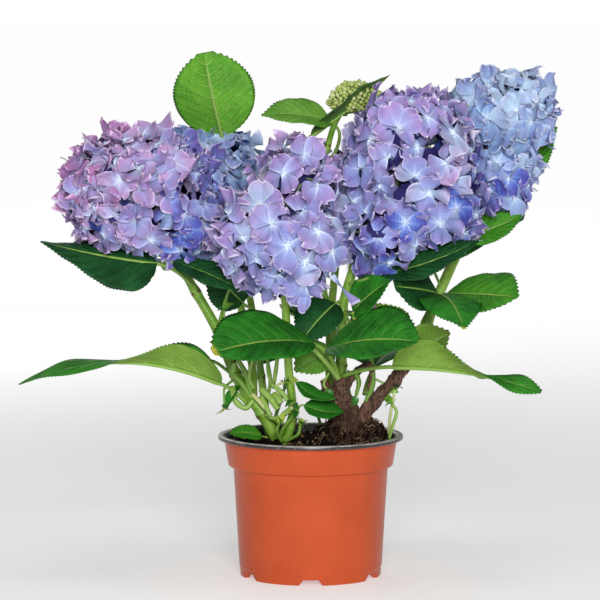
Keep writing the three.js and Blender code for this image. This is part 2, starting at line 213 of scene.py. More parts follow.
def tube(bm, path, radii, sides, slot=0, relief=None):
    """A round limb along a path. relief(places, turn) adds to the radius."""
    rows = len(path) - 1
    _, side, other = carried(path)

    def place(u, v):
        i = np.rint(u * rows).astype(int)
        turn = -2 * np.pi * v
        way = np.cos(turn)[:, None] * side[i] + np.sin(turn)[:, None] * other[i]
        reach = radii[i]
        if relief:
            reach = reach + relief(path[i] + way * reach[:, None], turn)
        return path[i] + way * reach[:, None]

    made, _ = grid(bm, rows, sides, place, slot)
    bmesh.ops.remove_doubles(bm, verts=made, dist=1e-3)
    rims = [e for v in made if v.is_valid for e in v.link_edges if e.is_boundary]
    for cap in bmesh.ops.holes_fill(bm, edges=list(set(rims)), sides=0)["faces"]:
        cap.material_index = slot


def finish(name, mesh, materials, nodes):
    """Makes a piece of a bmesh or mesh: its size in metres, its materials, and what it stands for."""
    if isinstance(mesh, bmesh.types.BMesh):
        mesh = mesh_of(name, mesh)
    mesh.transform(Matrix.Scale(MM, 4))
    for material in materials:
        mesh.materials.append(material)
    obj = add_object(name, mesh)
    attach(obj, "root")
    if nodes:
        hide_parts(*nodes)
    return obj


class Pattern:
    """A small shape that is repeated many times, as plain arrays."""

    def __init__(self, bm):
        self.places = np.array([v.co for v in bm.verts])
        bm.verts.index_update()
        self.corners = np.array([loop.vert.index for face in bm.faces for loop in face.loops])
        self.sides = np.array([len(face.verts) for face in bm.faces])
        self.slots = np.array([face.material_index for face in bm.faces])
        bm.free()


class Swarm:
    """Many placed copies of patterns, joined into one mesh."""

    def __init__(self):
        self.places, self.corners, self.sides, self.slots, self.count = [], [], [], [], 0

    def add(self, pattern, matrix, slot=0):
        m = np.array(matrix)
        self.places.append(pattern.places @ m[:3, :3].T + m[:3, 3])
        self.corners.append(pattern.corners + self.count)
        self.sides.append(pattern.sides)
        self.slots.append(pattern.slots + slot)
        self.count += len(pattern.places)

    def mesh(self, name):
        places, corners = np.concatenate(self.places), np.concatenate(self.corners)
        sides, slots = np.concatenate(self.sides), np.concatenate(self.slots)
        mesh = bpy.data.meshes.new(name)
        mesh.vertices.add(len(places))
        mesh.vertices.foreach_set("co", places.astype(np.float32).ravel())
        mesh.loops.add(len(corners))
        mesh.loops.foreach_set("vertex_index", corners.astype(np.int32))
        mesh.polygons.add(len(sides))
        mesh.polygons.foreach_set("loop_start", (np.cumsum(sides) - sides).astype(np.int32))
        mesh.polygons.foreach_set("material_index", slots.astype(np.int32))
        mesh.polygons.foreach_set("use_smooth", np.ones(len(sides), bool))
        mesh.update()
        mesh.validate()
        return mesh


def facing(way):
    """The turn that points Z along a way."""
    return way.to_track_quat("Z", "Y").to_matrix().to_4x4()


def from_to(start, end, thick=1.0):
    """The matrix that lays a pattern one long on Z from start to end."""
    way = Vector(end) - Vector(start)
    return Matrix.Translation(start) @ facing(way) @ Matrix.Diagonal((thick, thick, way.length, 1.0))


def spiral_way(k, count, span, wander=0.0):
    """The kth of count ways out of a ball, spread evenly from the top down over a span of its height."""
    z = 1 - span * (k + 0.5) / count
    turn = k * GOLDEN_TURN + (rng.gauss(0, wander) if wander else 0)
    flat = math.sqrt(max(1 - z * z, 0))
    return Vector((flat * math.cos(turn), flat * math.sin(turn), z))


def part_way(way, half, share):
    """A share of the way out to the surface of a ball with these half-sizes."""
    return Vector(a * b * share for a, b in zip(way, half))


def ball(facets, slot=0):
    bm = new_mesh()
    bmesh.ops.create_icosphere(bm, subdivisions=facets, radius=1)
    for face in bm.faces:
        face.material_index = slot
    return bm


def twig_pattern(bend, sides=4, rows=3):
    """A short twig one long on Z, bent sideways."""
    bm = new_mesh()
    path = np.array([(bend * math.sin(math.pi * t), 0, t) for t in np.linspace(0, 1, rows + 1)])
    tube(bm, path, np.linspace(1.15, 0.9, rows + 1), sides)
    return Pattern(bm)


# ---- Pot -------------------------------------------------------------------------------------------
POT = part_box("pot")
LIP_RADIUS = POT[1][0] / MM
POT_HEIGHT = POT[1][2] / MM
LIP_THICK = 3.0
COLLAR_TOP = 66.6
COLLAR_FOOT = 63.5
COLLAR_DROP = 23.3
BODY_TOP = 59.6
BODY_FOOT = 55.1
FOOT_RADIUS = 54.3
FOOT_INNER = 49.3
FOOT_HEIGHT = 7.0
PAD_RADIUS = 28.0
RECESS = 4.9
WALL = 1.8
TURNS = 180
NOTCHES, NOTCH_BOTTOM, NOTCH_TOP, NOTCH_HEIGHT = 6, 18.0, 12.0, 4.4
DRAINS, DRAIN_RADIUS, DRAIN_RING = 6, 4.5, 38.0


def rounded(points, radius, steps=4):
    """An outline with an arc in place of each inner corner."""
    out = [points[0]]
    for before, corner, after in zip(points, points[1:], points[2:]):
        a, b, c = (np.array(p, float) for p in (before, corner, after))
        cut = min(radius, 0.45 * np.linalg.norm(a - b), 0.45 * np.linalg.norm(c - b))
        start, end = b + unit(a - b) * cut, b + unit(c - b) * cut
        for t in np.linspace(0, 1, steps):
            out.append(tuple((1 - t) ** 2 * start + 2 * t * (1 - t) * b + t * t * end))
    return out + [points[-1]]


def pot_piece():
    collar = POT_HEIGHT - COLLAR_DROP
    outline = rounded([
        (0, 0), (PAD_RADIUS, 0), (PAD_RADIUS + 2, RECESS), (FOOT_INNER, RECESS), (FOOT_INNER + 0.6, 0),
        (FOOT_RADIUS, 0), (FOOT_RADIUS + 0.2, FOOT_HEIGHT), (BODY_FOOT, FOOT_HEIGHT + 0.9),
        (BODY_TOP, collar - 1.2), (COLLAR_FOOT, collar), (COLLAR_TOP, POT_HEIGHT - LIP_THICK - 0.8),
        (LIP_RADIUS, POT_HEIGHT - LIP_THICK), (LIP_RADIUS - 0.4, POT_HEIGHT),
        (COLLAR_TOP, POT_HEIGHT - 0.2), (COLLAR_TOP - WALL, POT_HEIGHT - LIP_THICK),
        (COLLAR_FOOT - WALL, collar + WALL), (BODY_TOP - WALL, collar - 0.4),
        (BODY_FOOT - WALL - 1, RECESS + WALL), (PAD_RADIUS, RECESS + WALL), (PAD_RADIUS - 2, WALL),
        (0, WALL),
    ], 0.9)
    bm = new_mesh()
    verts = [bm.verts.new((r, 0, z)) for r, z in outline]
    edges = [bm.edges.new(pair) for pair in zip(verts, verts[1:])]
    bmesh.ops.spin(bm, geom=verts + edges, cent=(0, 0, 0), axis=(0, 0, 1), angle=2 * math.pi,
                   steps=TURNS, use_merge=True)
    bmesh.ops.remove_doubles(bm, verts=bm.verts, dist=1e-3)
    bmesh.ops.recalc_face_normals(bm, faces=bm.faces)
    for vert in bm.verts:
        x, y, z = vert.co
        if math.hypot(x, y) > FOOT_INNER - 0.5 and z < NOTCH_HEIGHT:
            turn = math.atan2(x, -y) / (2 * math.pi / NOTCHES)
            across = abs(turn - round(turn)) * 2 * math.pi / NOTCHES * FOOT_RADIUS
            slope = (NOTCH_BOTTOM / 2 - across) / (NOTCH_BOTTOM / 2 - NOTCH_TOP / 2)
            vert.co.z = max(z, NOTCH_HEIGHT * min(max(slope, 0), 1))
    for face in bm.faces:
        middle = face.calc_center_median()
        reach = middle.xy.length
        inner = face.normal.xy.dot(middle.xy) < 0 or face.normal.z > 0.3
        face.smooth = True
        face.material_index = 0
        if middle.z > POT_HEIGHT - LIP_THICK - 0.3 and reach > COLLAR_TOP - WALL:
            face.material_index = 1
        elif inner and middle.z > RECESS + 0.5:
            face.material_index = 2
    obj = finish("pot_shell", bm, [terracotta(), dark_lip(), dark_inside()], ["pot"])
    holes = new_mesh()
    for i in range(DRAINS):
        turn = Matrix.Rotation(2 * math.pi * (i + 0.5) / DRAINS, 4, "Z")
        put = turn @ Matrix.Translation((0, -DRAIN_RING, RECESS + 1))
        bmesh.ops.create_cone(holes, cap_ends=True, segments=24, radius1=DRAIN_RADIUS,
                              radius2=DRAIN_RADIUS, depth=6, matrix=put)
    cutter = add_object("drain_cutters", mesh_of("drain_cutters", holes))
    cutter.data.transform(Matrix.Scale(MM, 4))
    cut = obj.modifiers.new("drains", "BOOLEAN")
    cut.object, cut.solver = cutter, "EXACT"
    shaped = bpy.data.meshes.new_from_object(obj.evaluated_get(bpy.context.evaluated_depsgraph_get()))
    obj.modifiers.clear()
    obj.data = shaped
    bpy.data.objects.remove(cutter)


def terracotta():
    s = Shader("terracotta_plastic", IOR=1.5, Specular_IOR_Level=0.2)
    where = s.place()
    tall = s.place((1, 1, 0.05))
    cloud = s.noise(where, 0.03, 2)
    streak = s.noise(tall, 0.3, 3)
    fine = s.noise(where, 1.6, 2)
    tone = s.mix(s.step(cloud, 0.3, 0.7), linear(190, 78, 40), linear(198, 84, 44))
    tone = s.mix(s.step(streak, 0.55, 0.8) * 0.2, tone, linear(204, 98, 62))
    dust = s.noise(where, 0.5, 4)
    tone = s.mix(s.step(dust, 0.66, 0.82) * 0.14, tone, linear(212, 134, 104))
    s.set(Base_Color=tone, Roughness=s.step(streak, 0.2, 0.8, 0.28, 0.38))
    s.bump(cloud * 0.5 + fine * 0.04, 0.3, 0.4)
    return s.material


def dark_lip():
    s = Shader("dark_lip_wear_and_glint", IOR=1.5)
    where = s.place()
    height = s.add("ShaderNodeSeparateXYZ", None, {"Vector": where}, 2)
    # The lip's top edge turns whitish. This is partly wear and partly a painted highlight, standing for the
    # light that glints along the top.
    wear_and_glint = s.step(height + s.noise(where, 0.12, 3) * 1.6, POT_HEIGHT - 0.4, POT_HEIGHT + 0.7)
    scuff = s.step(s.noise(s.place((1, 1, 0.4)), 0.5, 3), 0.56, 0.7)
    tone = s.mix(wear_and_glint * 0.85, linear(58, 52, 54), linear(206, 198, 196))
    tone = s.mix(scuff * 0.45, tone, linear(150, 142, 142))
    s.set(Base_Color=tone, Roughness=s.step(scuff, 0, 1, 0.28, 0.5))
    s.bump(s.noise(where, 1.2, 3), 0.15, 0.4)
    return s.material


def dark_inside():
    s = Shader("dark_plastic", IOR=1.5)
    where = s.place()
    dirt = s.step(s.noise(where, 0.2, 4), 0.45, 0.7)
    s.set(Base_Color=s.mix(dirt * 0.6, linear(34, 31, 32), linear(74, 58, 46)), Roughness=0.5 + dirt * 0.3)
    s.bump(dirt, 0.2, 0.4)
    return s.material


# ---- Peat and roots --------------------------------------------------------------------------------
PEAT_LEVEL = 100.5
PEAT_RADIUS = 64.2
PEAT_GRID = 140  # squares each way
CRUMBS, ROOTS, CROWN_ROOTS = 1700, 330, 150
MOUNDS = [((14, -2), 18, 16), ((45, 3), 21, 15), ((-26, -4), 5, 14)]  # where, how high, how wide


def peat_height(x, y):
    rise = sum(high * math.exp(-((x - at[0]) ** 2 + (y - at[1]) ** 2) / wide ** 2)
               for at, high, wide in MOUNDS)
    spot = Vector((x, y, 7.0))
    rough = (2.2 + 0.12 * rise) * noise.fractal(spot * 0.09, 0.8, 2.1, 3) + 1.6 * noise.noise(spot * 0.33)
    clod = 1.1 * abs(noise.noise(spot * 0.75)) + 0.6 * noise.noise(spot * 1.6)
    return PEAT_LEVEL + rise + rough + clod


def peat_pieces():
    bm = new_mesh()

    def place(u, v):
        x, y = 2 * u - 1, 2 * v - 1
        across = PEAT_RADIUS * x * np.sqrt(1 - y * y / 2)
        deep = PEAT_RADIUS * y * np.sqrt(1 - x * x / 2)
        edge = np.hypot(across, deep) / PEAT_RADIUS > 0.999
        tall = np.array([peat_height(a, b) for a, b in zip(across, deep)])
        return np.stack([across, deep, np.where(edge, PEAT_LEVEL - 6, tall)], 1)

    grid(bm, PEAT_GRID, PEAT_GRID, place)
    finish("peat_surface", bm, [peat()], ["soil"])

    crumbs = Swarm()
    shapes = [crumb_pattern(i) for i in range(5)]
    for _ in range(CRUMBS):
        turn, reach = rng.uniform(0, 2 * math.pi), PEAT_RADIUS * 0.97 * math.sqrt(rng.random())
        x, y = reach * math.cos(turn), reach * math.sin(turn)
        big = rng.uniform(0.5, 1.7) if rng.random() < 0.9 else rng.uniform(1.6, 2.8)
        spin = Matrix.Rotation(rng.uniform(0, ALL_ROUND), 4, "X")
        spin = spin @ Matrix.Rotation(rng.uniform(0, ALL_ROUND), 4, "Z")
        put = Matrix.Translation((x, y, peat_height(x, y) + 0.3 * big)) @ spin @ Matrix.Scale(big, 4)
        crumbs.add(rng.choice(shapes), put, rng.choice([0, 0, 0, 1, 1, 2, 3] if big < 1.7 else [0, 1]))
    tones = [(16, 10, 7), (28, 18, 12), (50, 35, 24), (128, 104, 78)]
    finish("peat_crumbs", crumbs.mesh("peat_crumbs"),
           plains("peat_crumb", tones, 0.95, Specular_IOR_Level=0.1), [])


def crumb_pattern(seed):
    bm = ball(1)
    for vert in bm.verts:
        vert.co *= 1 + 0.5 * noise.noise(vert.co * 1.7 + Vector((seed * 9, 0, 0)))
        vert.co.z *= 0.7
    return Pattern(bm)


def peat():
    s = Shader("moist_peat", Specular_IOR_Level=0.1)
    where = s.place()
    clod = s.noise(where, 0.25, 5, 0.65)
    fine = s.noise(where, 1.1, 4, 0.7)
    tone = s.mix(s.step(clod, 0.35, 0.65), linear(9, 5, 3), linear(30, 19, 13))
    tone = s.mix(s.step(fine, 0.64, 0.8) * 0.4, tone, linear(76, 56, 40))
    s.set(Base_Color=tone, Roughness=0.85 + fine * 0.15)
    s.bump(clod + fine * 0.5, 1.2, 0.9)
    return s.material


def plain(name, colour, roughness, **sockets):
    """One even finish, for shapes too small to carry a pattern."""
    return Shader(name, Base_Color=colour, Roughness=roughness, **sockets).material


def plains(name, tones, roughness, **sockets):
    return [plain(f"{name}_{i}", linear(*tone), roughness, **sockets) for i, tone in enumerate(tones)]


def fibre_piece():
    """Pale fibrous roots over the peat and down the crown."""
    bm = new_mesh()
    for _ in range(ROOTS):
        near = rng.random() < 0.7
        middle = (34, 0) if near else (0, 0)
        turn = rng.uniform(0, 2 * math.pi)
        reach = rng.uniform(3, 29) if near else rng.uniform(10, 58)
        x, y = middle[0] + reach * math.cos(turn), middle[1] + reach * math.sin(turn)
        heading = turn + rng.uniform(-1.8, 1.8)
        points = []
        lift = rng.uniform(0.2, 3.2)
        for k in range(6):
            reach = min(1.0, (PEAT_RADIUS - 2) / max(math.hypot(x, y), 1))
            x, y = x * reach, y * reach
            points.append((x, y, peat_height(x, y) + lift * math.sin(math.pi * k / 5) + 0.2))
            heading += rng.uniform(-0.9, 0.9)
            x += rng.uniform(1.2, 3.2) * math.cos(heading)
            y += rng.uniform(1.2, 3.2) * math.sin(heading)
        thick = rng.uniform(0.14, 0.38)
        radii = np.linspace(thick, thick * 0.5, 10)
        tube(bm, smooth_path(points, 10), radii, 3, rng.choice([0, 0, 1, 2, 3]))
    for _ in range(CROWN_ROOTS):
        turn = rng.uniform(0, 2 * math.pi)
        top = rng.uniform(118, 140)
        axis = np.interp(top, (110, 140), (32, 24))
        reach = np.interp(top, (112, 125, 142), (14, 8.5, 6))
        x, y = axis + reach * math.cos(turn), reach * math.sin(turn)
        points = [(x, y, top)]
        for k in range(5):
            x += rng.uniform(-0.4, 3.0) * math.cos(turn) + rng.uniform(-1.6, 1.6)
            y += rng.uniform(-0.4, 3.0) * math.sin(turn) + rng.uniform(-1.6, 1.6)
            top -= rng.uniform(1, 5)
            points.append((x, y, max(top, peat_height(x, y) + 0.4)))
        thick = rng.uniform(0.16, 0.5)
        tube(bm, smooth_path(points, 12), np.linspace(thick, thick * 0.4, 12), 4, rng.choice([0, 1, 1, 3]))
    tones = [(104, 76, 56), (66, 44, 32), (156, 130, 100), (84, 58, 42)]
    finish("root_fibres", bm, plains("root_fibre", tones, 0.8), [])


# ---- Stems -----------------------------------------------------------------------------------------
STEMS = {  # the points that each stem passes, its radius at both ends, and where its leaf joints swell
    "stem_left": (
        [(-21, -4, 97), (-37, -8, 126), (-56, -8, 153), (-72, -8, 191), (-90, -7, 223), (-112, -5, 261)],
        (5.2, 2.9), (0.2, 0.42, 0.78)),
    "stem_blue": ([(-44, -6, 137), (-45, 8, 159), (-52, 24, 193), (-64, 44, 267)], (3.1, 2.6), (0.5,)),
    "stem_left_back": (
        [(-31, 13, 97), (-38, 20, 149), (-44, 24, 195), (-58, 40, 267)], (3, 2.4), (0.35, 0.65)),
    "stem_centre": (
        [(-22, -13, 97), (-14, -14, 125), (-17, -24, 165), (-20, -45, 231)], (3.4, 2.9), (0.3,)),
    "stem_right": ([(23, -4, 151), (24, -6, 183), (25, -8, 210), (36, -8, 249)], (4.3, 3.4), (0.12, 0.62)),
    "stem_back": ([(19, 18, 97), (15, 34, 147), (16, 50, 195), (22, 74, 251)], (3.4, 2.8), (0.4, 0.7)),
    "stem_bud": (
        [(36, 20, 97), (24, 28, 162), (9, 33, 225), (6, 32, 290), (16, 50, 338), (28, 64, 362)],
        (2.8, 2), (0.4, 0.75)),
}
WOODY = {
    "crown": ([(31, 3, 101), (30, 2, 121), (24, -3, 139), (22, -4, 154)], (12.5, 4.4)),
    "stem_woody": (
        [(37, 1, 119), (52, -3, 138), (69, -6, 157), (84, 0, 183), (100, 10, 219), (122, 30, 263),
         (144, 44, 295)],
        (5.2, 3.6)),
    "stem_arch": ([(25, -3, 143), (38, -4, 160), (47, -2, 160), (45, 1, 129)], (2.8, 2.2)),
}
BARK_TOP = (170, 196)  # between these heights the bark gives way to green
STEM_ROWS, BARK_ROWS = 90, 120


def stem_pieces():
    green, scar = green_stem(), plain("joint_scar", linear(96, 84, 44), 0.8)
    for name, (points, radius, joints) in STEMS.items():
        rows = STEM_ROWS
        path = smooth_path(points, rows + 1)
        t = np.linspace(0, 1, rows + 1)
        swell = sum(np.exp(-((t - joint) / 0.018) ** 2) for joint in joints)
        radii = (radius[0] + (radius[1] - radius[0]) * t) * (1 + 0.22 * swell)
        bm = new_mesh()
        tube(bm, path, radii, 16, 0, lambda spot, turn: 0.12 * np.cos(4 * turn))
        for joint in joints:
            at = int(round(joint * rows))
            ring = (path[at] + path[at - 1:at + 2]) / 2
            tube(bm, ring, radii[at - 1:at + 2] * 1.03, 12, 1)
        finish(f"{name}_skin", bm, [green, scar], [name])
    bark = flaking_bark()
    for name, (points, radius) in WOODY.items():
        rows = BARK_ROWS
        path = smooth_path(points, rows + 1)
        t = np.linspace(0, 1, rows + 1)
        start, end = radius
        flare = (0.28 if name == "crown" else 0.1) * np.exp(-t / 0.06)
        knees = 0.16 * np.exp(-((t - 0.56) / 0.02) ** 2) + 0.14 * np.exp(-((t - 0.3) / 0.03) ** 2)
        radii = (start + (end - start) * t ** 0.7) * (1 + flare + knees)

        def relief(spots, turn, deep=0.08 * start + 0.18):
            out = []
            for spot in spots:
                v = Vector(spot)
                ridge = 1 - abs(noise.noise(Vector((spot[0], spot[1], spot[2] * 0.25)) * 0.55)) * 2
                fade = min(max((BARK_TOP[1] - spot[2]) / (BARK_TOP[1] - BARK_TOP[0]), 0.06), 1)
                out.append(fade * deep * (2.4 * noise.noise(v * 0.16) + ridge + 0.9 * noise.noise(v * 0.8)))
            return np.array(out)

        bm = new_mesh()
        tube(bm, path, radii, 30, 0, relief)
        finish(f"{name}_skin", bm, [bark], [name])


def green_skin(s, where):
    """The colour of a green stem, and where its dark flecks are."""
    fleck = s.step(s.noise(s.place((1, 1, 0.28)), 1.05, 2), 0.67, 0.75)
    cloud = s.noise(where, 0.06, 3)
    tone = s.mix(s.step(cloud, 0.35, 0.65), linear(98, 146, 38), linear(142, 180, 70))
    blush = s.step(s.noise(where, 0.035, 2), 0.62, 0.78)
    tone = s.mix(blush * 0.4, tone, linear(118, 112, 56))
    return s.mix(fleck * 0.7, tone, linear(66, 62, 30)), fleck


def green_stem():
    s = Shader("green_stem", IOR=1.45)
    where = s.place()
    tone, fleck = green_skin(s, where)
    s.set(Base_Color=tone, Roughness=s.step(s.noise(where, 0.06, 3), 0.2, 0.8, 0.34, 0.48))
    s.bump(fleck + s.noise(s.place((1, 1, 0.1)), 1.4, 2) * 0.5, 0.25, 0.6)
    return s.material


def flaking_bark():
    s = Shader("flaking_bark")
    where = s.place()
    crack = s.noise(s.place((1, 1, 0.3)), 0.7, 5, 0.65)
    patch = s.noise(where, 0.12, 3)
    tone = s.mix(s.step(crack, 0.38, 0.62), linear(40, 25, 20), linear(116, 82, 66))
    tone = s.mix(s.step(patch, 0.5, 0.7) * 0.6, tone, linear(138, 98, 80))
    tone = s.mix(s.step(s.noise(where, 1.5, 3), 0.66, 0.76) * 0.5, tone, linear(172, 142, 116))
    height = s.add("ShaderNodeSeparateXYZ", None, {"Vector": where}, 2)
    young = s.step(height + s.noise(where, 0.15, 3) * 24, BARK_TOP[0] + 12, BARK_TOP[1] + 12)
    green, _ = green_skin(s, where)
    tone = s.mix(young, tone, green)
    s.set(Base_Color=tone, Roughness=s.step(young, 0, 1, 0.85, 0.42))
    s.bump(crack - young * crack * 0.85, 0.8, 0.9)
    return s.material


# ---- Leaves ----------------------------------------------------------------------------------------
# Where the stalk leaves the stem; the midrib's base; its tip; the width; the way the upper side looks at
# the base; how far the midrib's middle rises that way; how far each half lifts, in degrees; and the tone.
# Then hump: how far the middle rises straight up; fold_tip: the halves' lift at the tip, and unfold: the
# stretch where it changes; roll: turn of the face, in degrees, and twist: the stretch where it turns;
# widest: where along the midrib; point: how drawn out the tip is.
LEAVES = {
    "leaf_top_left": ((-64, 46, 261), (-68, 42, 335), (-82, 34, 402), 65, (0.1, 1, 0.2), -5, 12, "lit",
        dict(widest=0.5, point=0.62)),
    "leaf_top_mid": ((8, 33, 306), (17, 54, 347), (-38, 40, 353), 40, (0.1, -0.5, 0.86), 5, 8, "lit"),
    "leaf_top_dark": ((10, 38, 318), (0, 48, 338), (62, 66, 384), 40, (-0.68, 0.25, 0.69), -1, 6, "leaf"),
    "leaf_left_upper": ((-89, -8, 223), (-117, -16, 243), (-204, -40, 261), 58, (0.1, -0.62, 0.78), -2,
        -16, "leaf", dict(roll=12, widest=0.22)),
    "leaf_left_inner": ((-88, -9, 223), (-104, -28, 245), (-49, -60, 224), 28, (0.2, -0.6, 0.75), 3, 4,
        "leaf"),
    "leaf_left_low": ((-49, -10, 134), (-68, -18, 151), (-221, -46, 153), 46, (0, 0.1, 1), 2, 56, "pale",
        dict(hump=15, roll=-18, widest=0.25, point=1, twist=(0.45, 0.8), fold_tip=0, unfold=(0.15, 0.5))),
    "leaf_left_shred": ((-51, -8, 145), (-54, -12, 148), (-64, -15, 131), 11, (-0.6, -0.6, 0.5), 2, 20,
        "leaf"),
    "leaf_front_left": ((21, -9, 155), (2, -40, 184), (-73, -90, 182), 58, (-0.06, -0.66, 0.75), 7, 12,
        "leaf", dict(widest=0.66, point=0.85)),
    "leaf_front_right": ((22, -10, 173), (12, -34, 179), (80, -76, 189), 58, (-0.1, -0.6, 0.79), 6, 12,
        "leaf", dict(widest=0.62, point=0.9)),
    "leaf_right_low": ((24, -8, 155), (62, -25, 165), (174, -50, 148), 50, (0.1, 0.3, 1), 1, 46, "pale",
        dict(hump=4, roll=52, widest=0.28, point=0.75, twist=(0.5, 0.95), fold_tip=0, unfold=(0.25, 0.6))),
    "leaf_right_mid": ((102, 8, 213), (104, -10, 219), (156, -54, 220), 50, (0, -0.66, 0.75), 2, 3, "lit",
        dict(widest=0.6)),
    "leaf_right_droop": ((100, 7, 211), (98, -12, 218), (114, -84, 199), 46, (0, -0.15, 1), 8, -5,
        "leaf"),
    "leaf_right_dark": ((97, 5, 208), (97, -6, 219), (63, -40, 227), 42, (0.05, -0.85, 0.5), 2, 4, "leaf",
        dict(widest=0.58, point=0.75)),
    "leaf_under_right": ((29, -10, 226), (52, -32, 235), (127, -34, 261), 36, (-0.3, -0.55, 0.78), -3, 4,
        "leaf"),
    "leaf_right_edge": ((112, 22, 245), (116, 12, 260), (163, 14, 277), 26, (0.3, -0.75, 0.6), -2, 6,
        "lit"),
    "leaf_far_right": ((132, 40, 267), (148, 60, 286), (194, 72, 343), 26, (-0.3, -0.9, 0.2), -4, 8,
        "lit"),
    "leaf_mid_hanging": ((24, -8, 213), (19, -17, 212), (-8, -36, 183), 38, (-0.3, -0.85, 0.45), 4, 10,
        "leaf"),
    "leaf_mid_right": ((26, -9, 201), (32, -18, 206), (60, -42, 232), 32, (-0.3, -0.8, 0.5), 3, 12,
        "leaf"),
    "leaf_pale_right": ((82, -6, 177), (78, -14, 177), (106, -18, 190), 36, (-0.2, 0.85, 0.5), -2, 8,
        "pale"),
    "leaf_pale_mid": ((77, -6, 173), (70, -10, 183), (47, -16, 212), 36, (0.2, 0.8, 0.5), -2, 8, "pale"),
    "leaf_low_mid": ((21, -4, 165), (17, 6, 173), (-12, -2, 158), 36, (0.1, -0.6, 0.8), 3, 6, "lit"),
    "leaf_ground_mid": ((-14, -15, 133), (-11, -20, 152), (19, -28, 140), 20, (0, -0.32, 0.95), -5, 8,
        "leaf"),
    "leaf_ground_low": ((-11, -16, 127), (-5, -18, 134), (25, -24, 129), 24, (0, -0.5, 0.86), -2, 6,
        "leaf"),
    "leaf_soil": ((-33, -22, 109), (-37, -25, 111), (-62, -32, 114), 19, (0, -0.5, 0.86), 2, 4, "lit"),
    "leaf_left_behind": ((-47, 23, 205), (-52, 14, 209), (-80, 2, 237), 36, (-0.2, -0.85, 0.45), 3, 8,
        "leaf"),
    "leaf_back_low_left": ((-38, 18, 141), (-40, 52, 157), (-66, 128, 155), 60, (0, 0.3, 0.95), 10, 8,
        "leaf"),
    "leaf_back_low_right": ((42, 26, 137), (50, 56, 155), (86, 130, 151), 60, (0, 0.3, 0.95), 10, 8,
        "leaf"),
    "leaf_back_mid": ((16, 42, 171), (12, 72, 187), (-2, 148, 179), 62, (0, 0.35, 0.93), 10, 6, "leaf"),
    "leaf_back_left": ((-54, 28, 205), (-74, 62, 221), (-118, 128, 225), 60, (-0.1, 0.4, 0.9), 9, 6,
        "leaf"),
    "leaf_back_right": ((107, 16, 231), (108, 52, 238), (122, 124, 243), 58, (0, 0.4, 0.9), 9, 6, "leaf"),
    "leaf_back_blue": ((-62, 42, 251), (-82, 76, 253), (-130, 124, 277), 54, (-0.3, 0.2, 0.93), -4, 8,
        "leaf"),
    "leaf_back_far": ((128, 36, 261), (134, 82, 260), (158, 126, 290), 54, (0.1, 0, 1), -5, 8, "leaf"),
}
LEAF_THICK = 0.5
TOOTH_STEP = 2.6  # from one tooth to the next
TOOTH_OUT = 0.95
VEINS = 8.0  # side veins on each half
VEIN_LEAN = 0.4  # how far a side vein runs towards the tip on its way out, as a share of the blade
LEAF_COLS = 22
TIPPED = ("leaf_front_left", "leaf_right_droop")  # leaves that yellow at the tip
# These leaves take the dark tone, which is painted shade: a darker copy of the leaf green for leaves that
# lie in shade.
PAINTED_SHADE_LEAVES = ("leaf_left_upper", "leaf_left_inner", "leaf_top_dark", "leaf_under_right", "leaf_right_dark",
        "leaf_left_behind", "leaf_mid_hanging")
# leaf_top_mid is young and yellow-green. leaf_low_mid takes the same light green as painted light, because
# it lies in the shade of the leaves in front.
LIGHT_GREEN_LEAVES = ("leaf_top_mid", "leaf_low_mid")
# The dark tone is painted shade and the lit tone is painted light: darker and lighter copies of the leaf
# green.
LEAF_TONES = {  # upper side: deep, light and vein; under side: deep, light and rib
    "leaf": ((12, 82, 14), (44, 134, 32), (104, 168, 70), (84, 130, 50), (110, 152, 68), (156, 182, 104)),
    "dark": ((8, 50, 20), (26, 86, 40), (64, 124, 60), (60, 104, 44), (84, 128, 60), (132, 162, 92)),
    "lit": ((32, 108, 18), (70, 148, 34), (136, 188, 76), (58, 134, 20), (92, 162, 40), (166, 206, 100)),
    "young": (
        (78, 138, 36), (112, 168, 62), (160, 202, 104), (92, 140, 42), (118, 164, 62), (164, 196, 100)),
    "pale": ((24, 102, 22), (56, 144, 38), (124, 180, 84), (98, 142, 44), (122, 160, 62), (160, 186, 100)),
}


def bezier(a, b, c, t):
    t = np.asarray(t)[:, None]
    return (1 - t) ** 2 * a + 2 * t * (1 - t) * b + t * t * c


def turned(vectors, axes, angles):
    """Vectors turned about axes (Rodrigues)."""
    cos, sin = np.cos(angles)[:, None], np.sin(angles)[:, None]
    dot = np.sum(vectors * axes, 1)[:, None]
    return vectors * cos + np.cross(axes, vectors) * sin + axes * dot * (1 - cos)


def smooth_step(value, low, high):
    t = np.clip((value - low) / (high - low), 0, 1)
    return t * t * (3 - 2 * t)


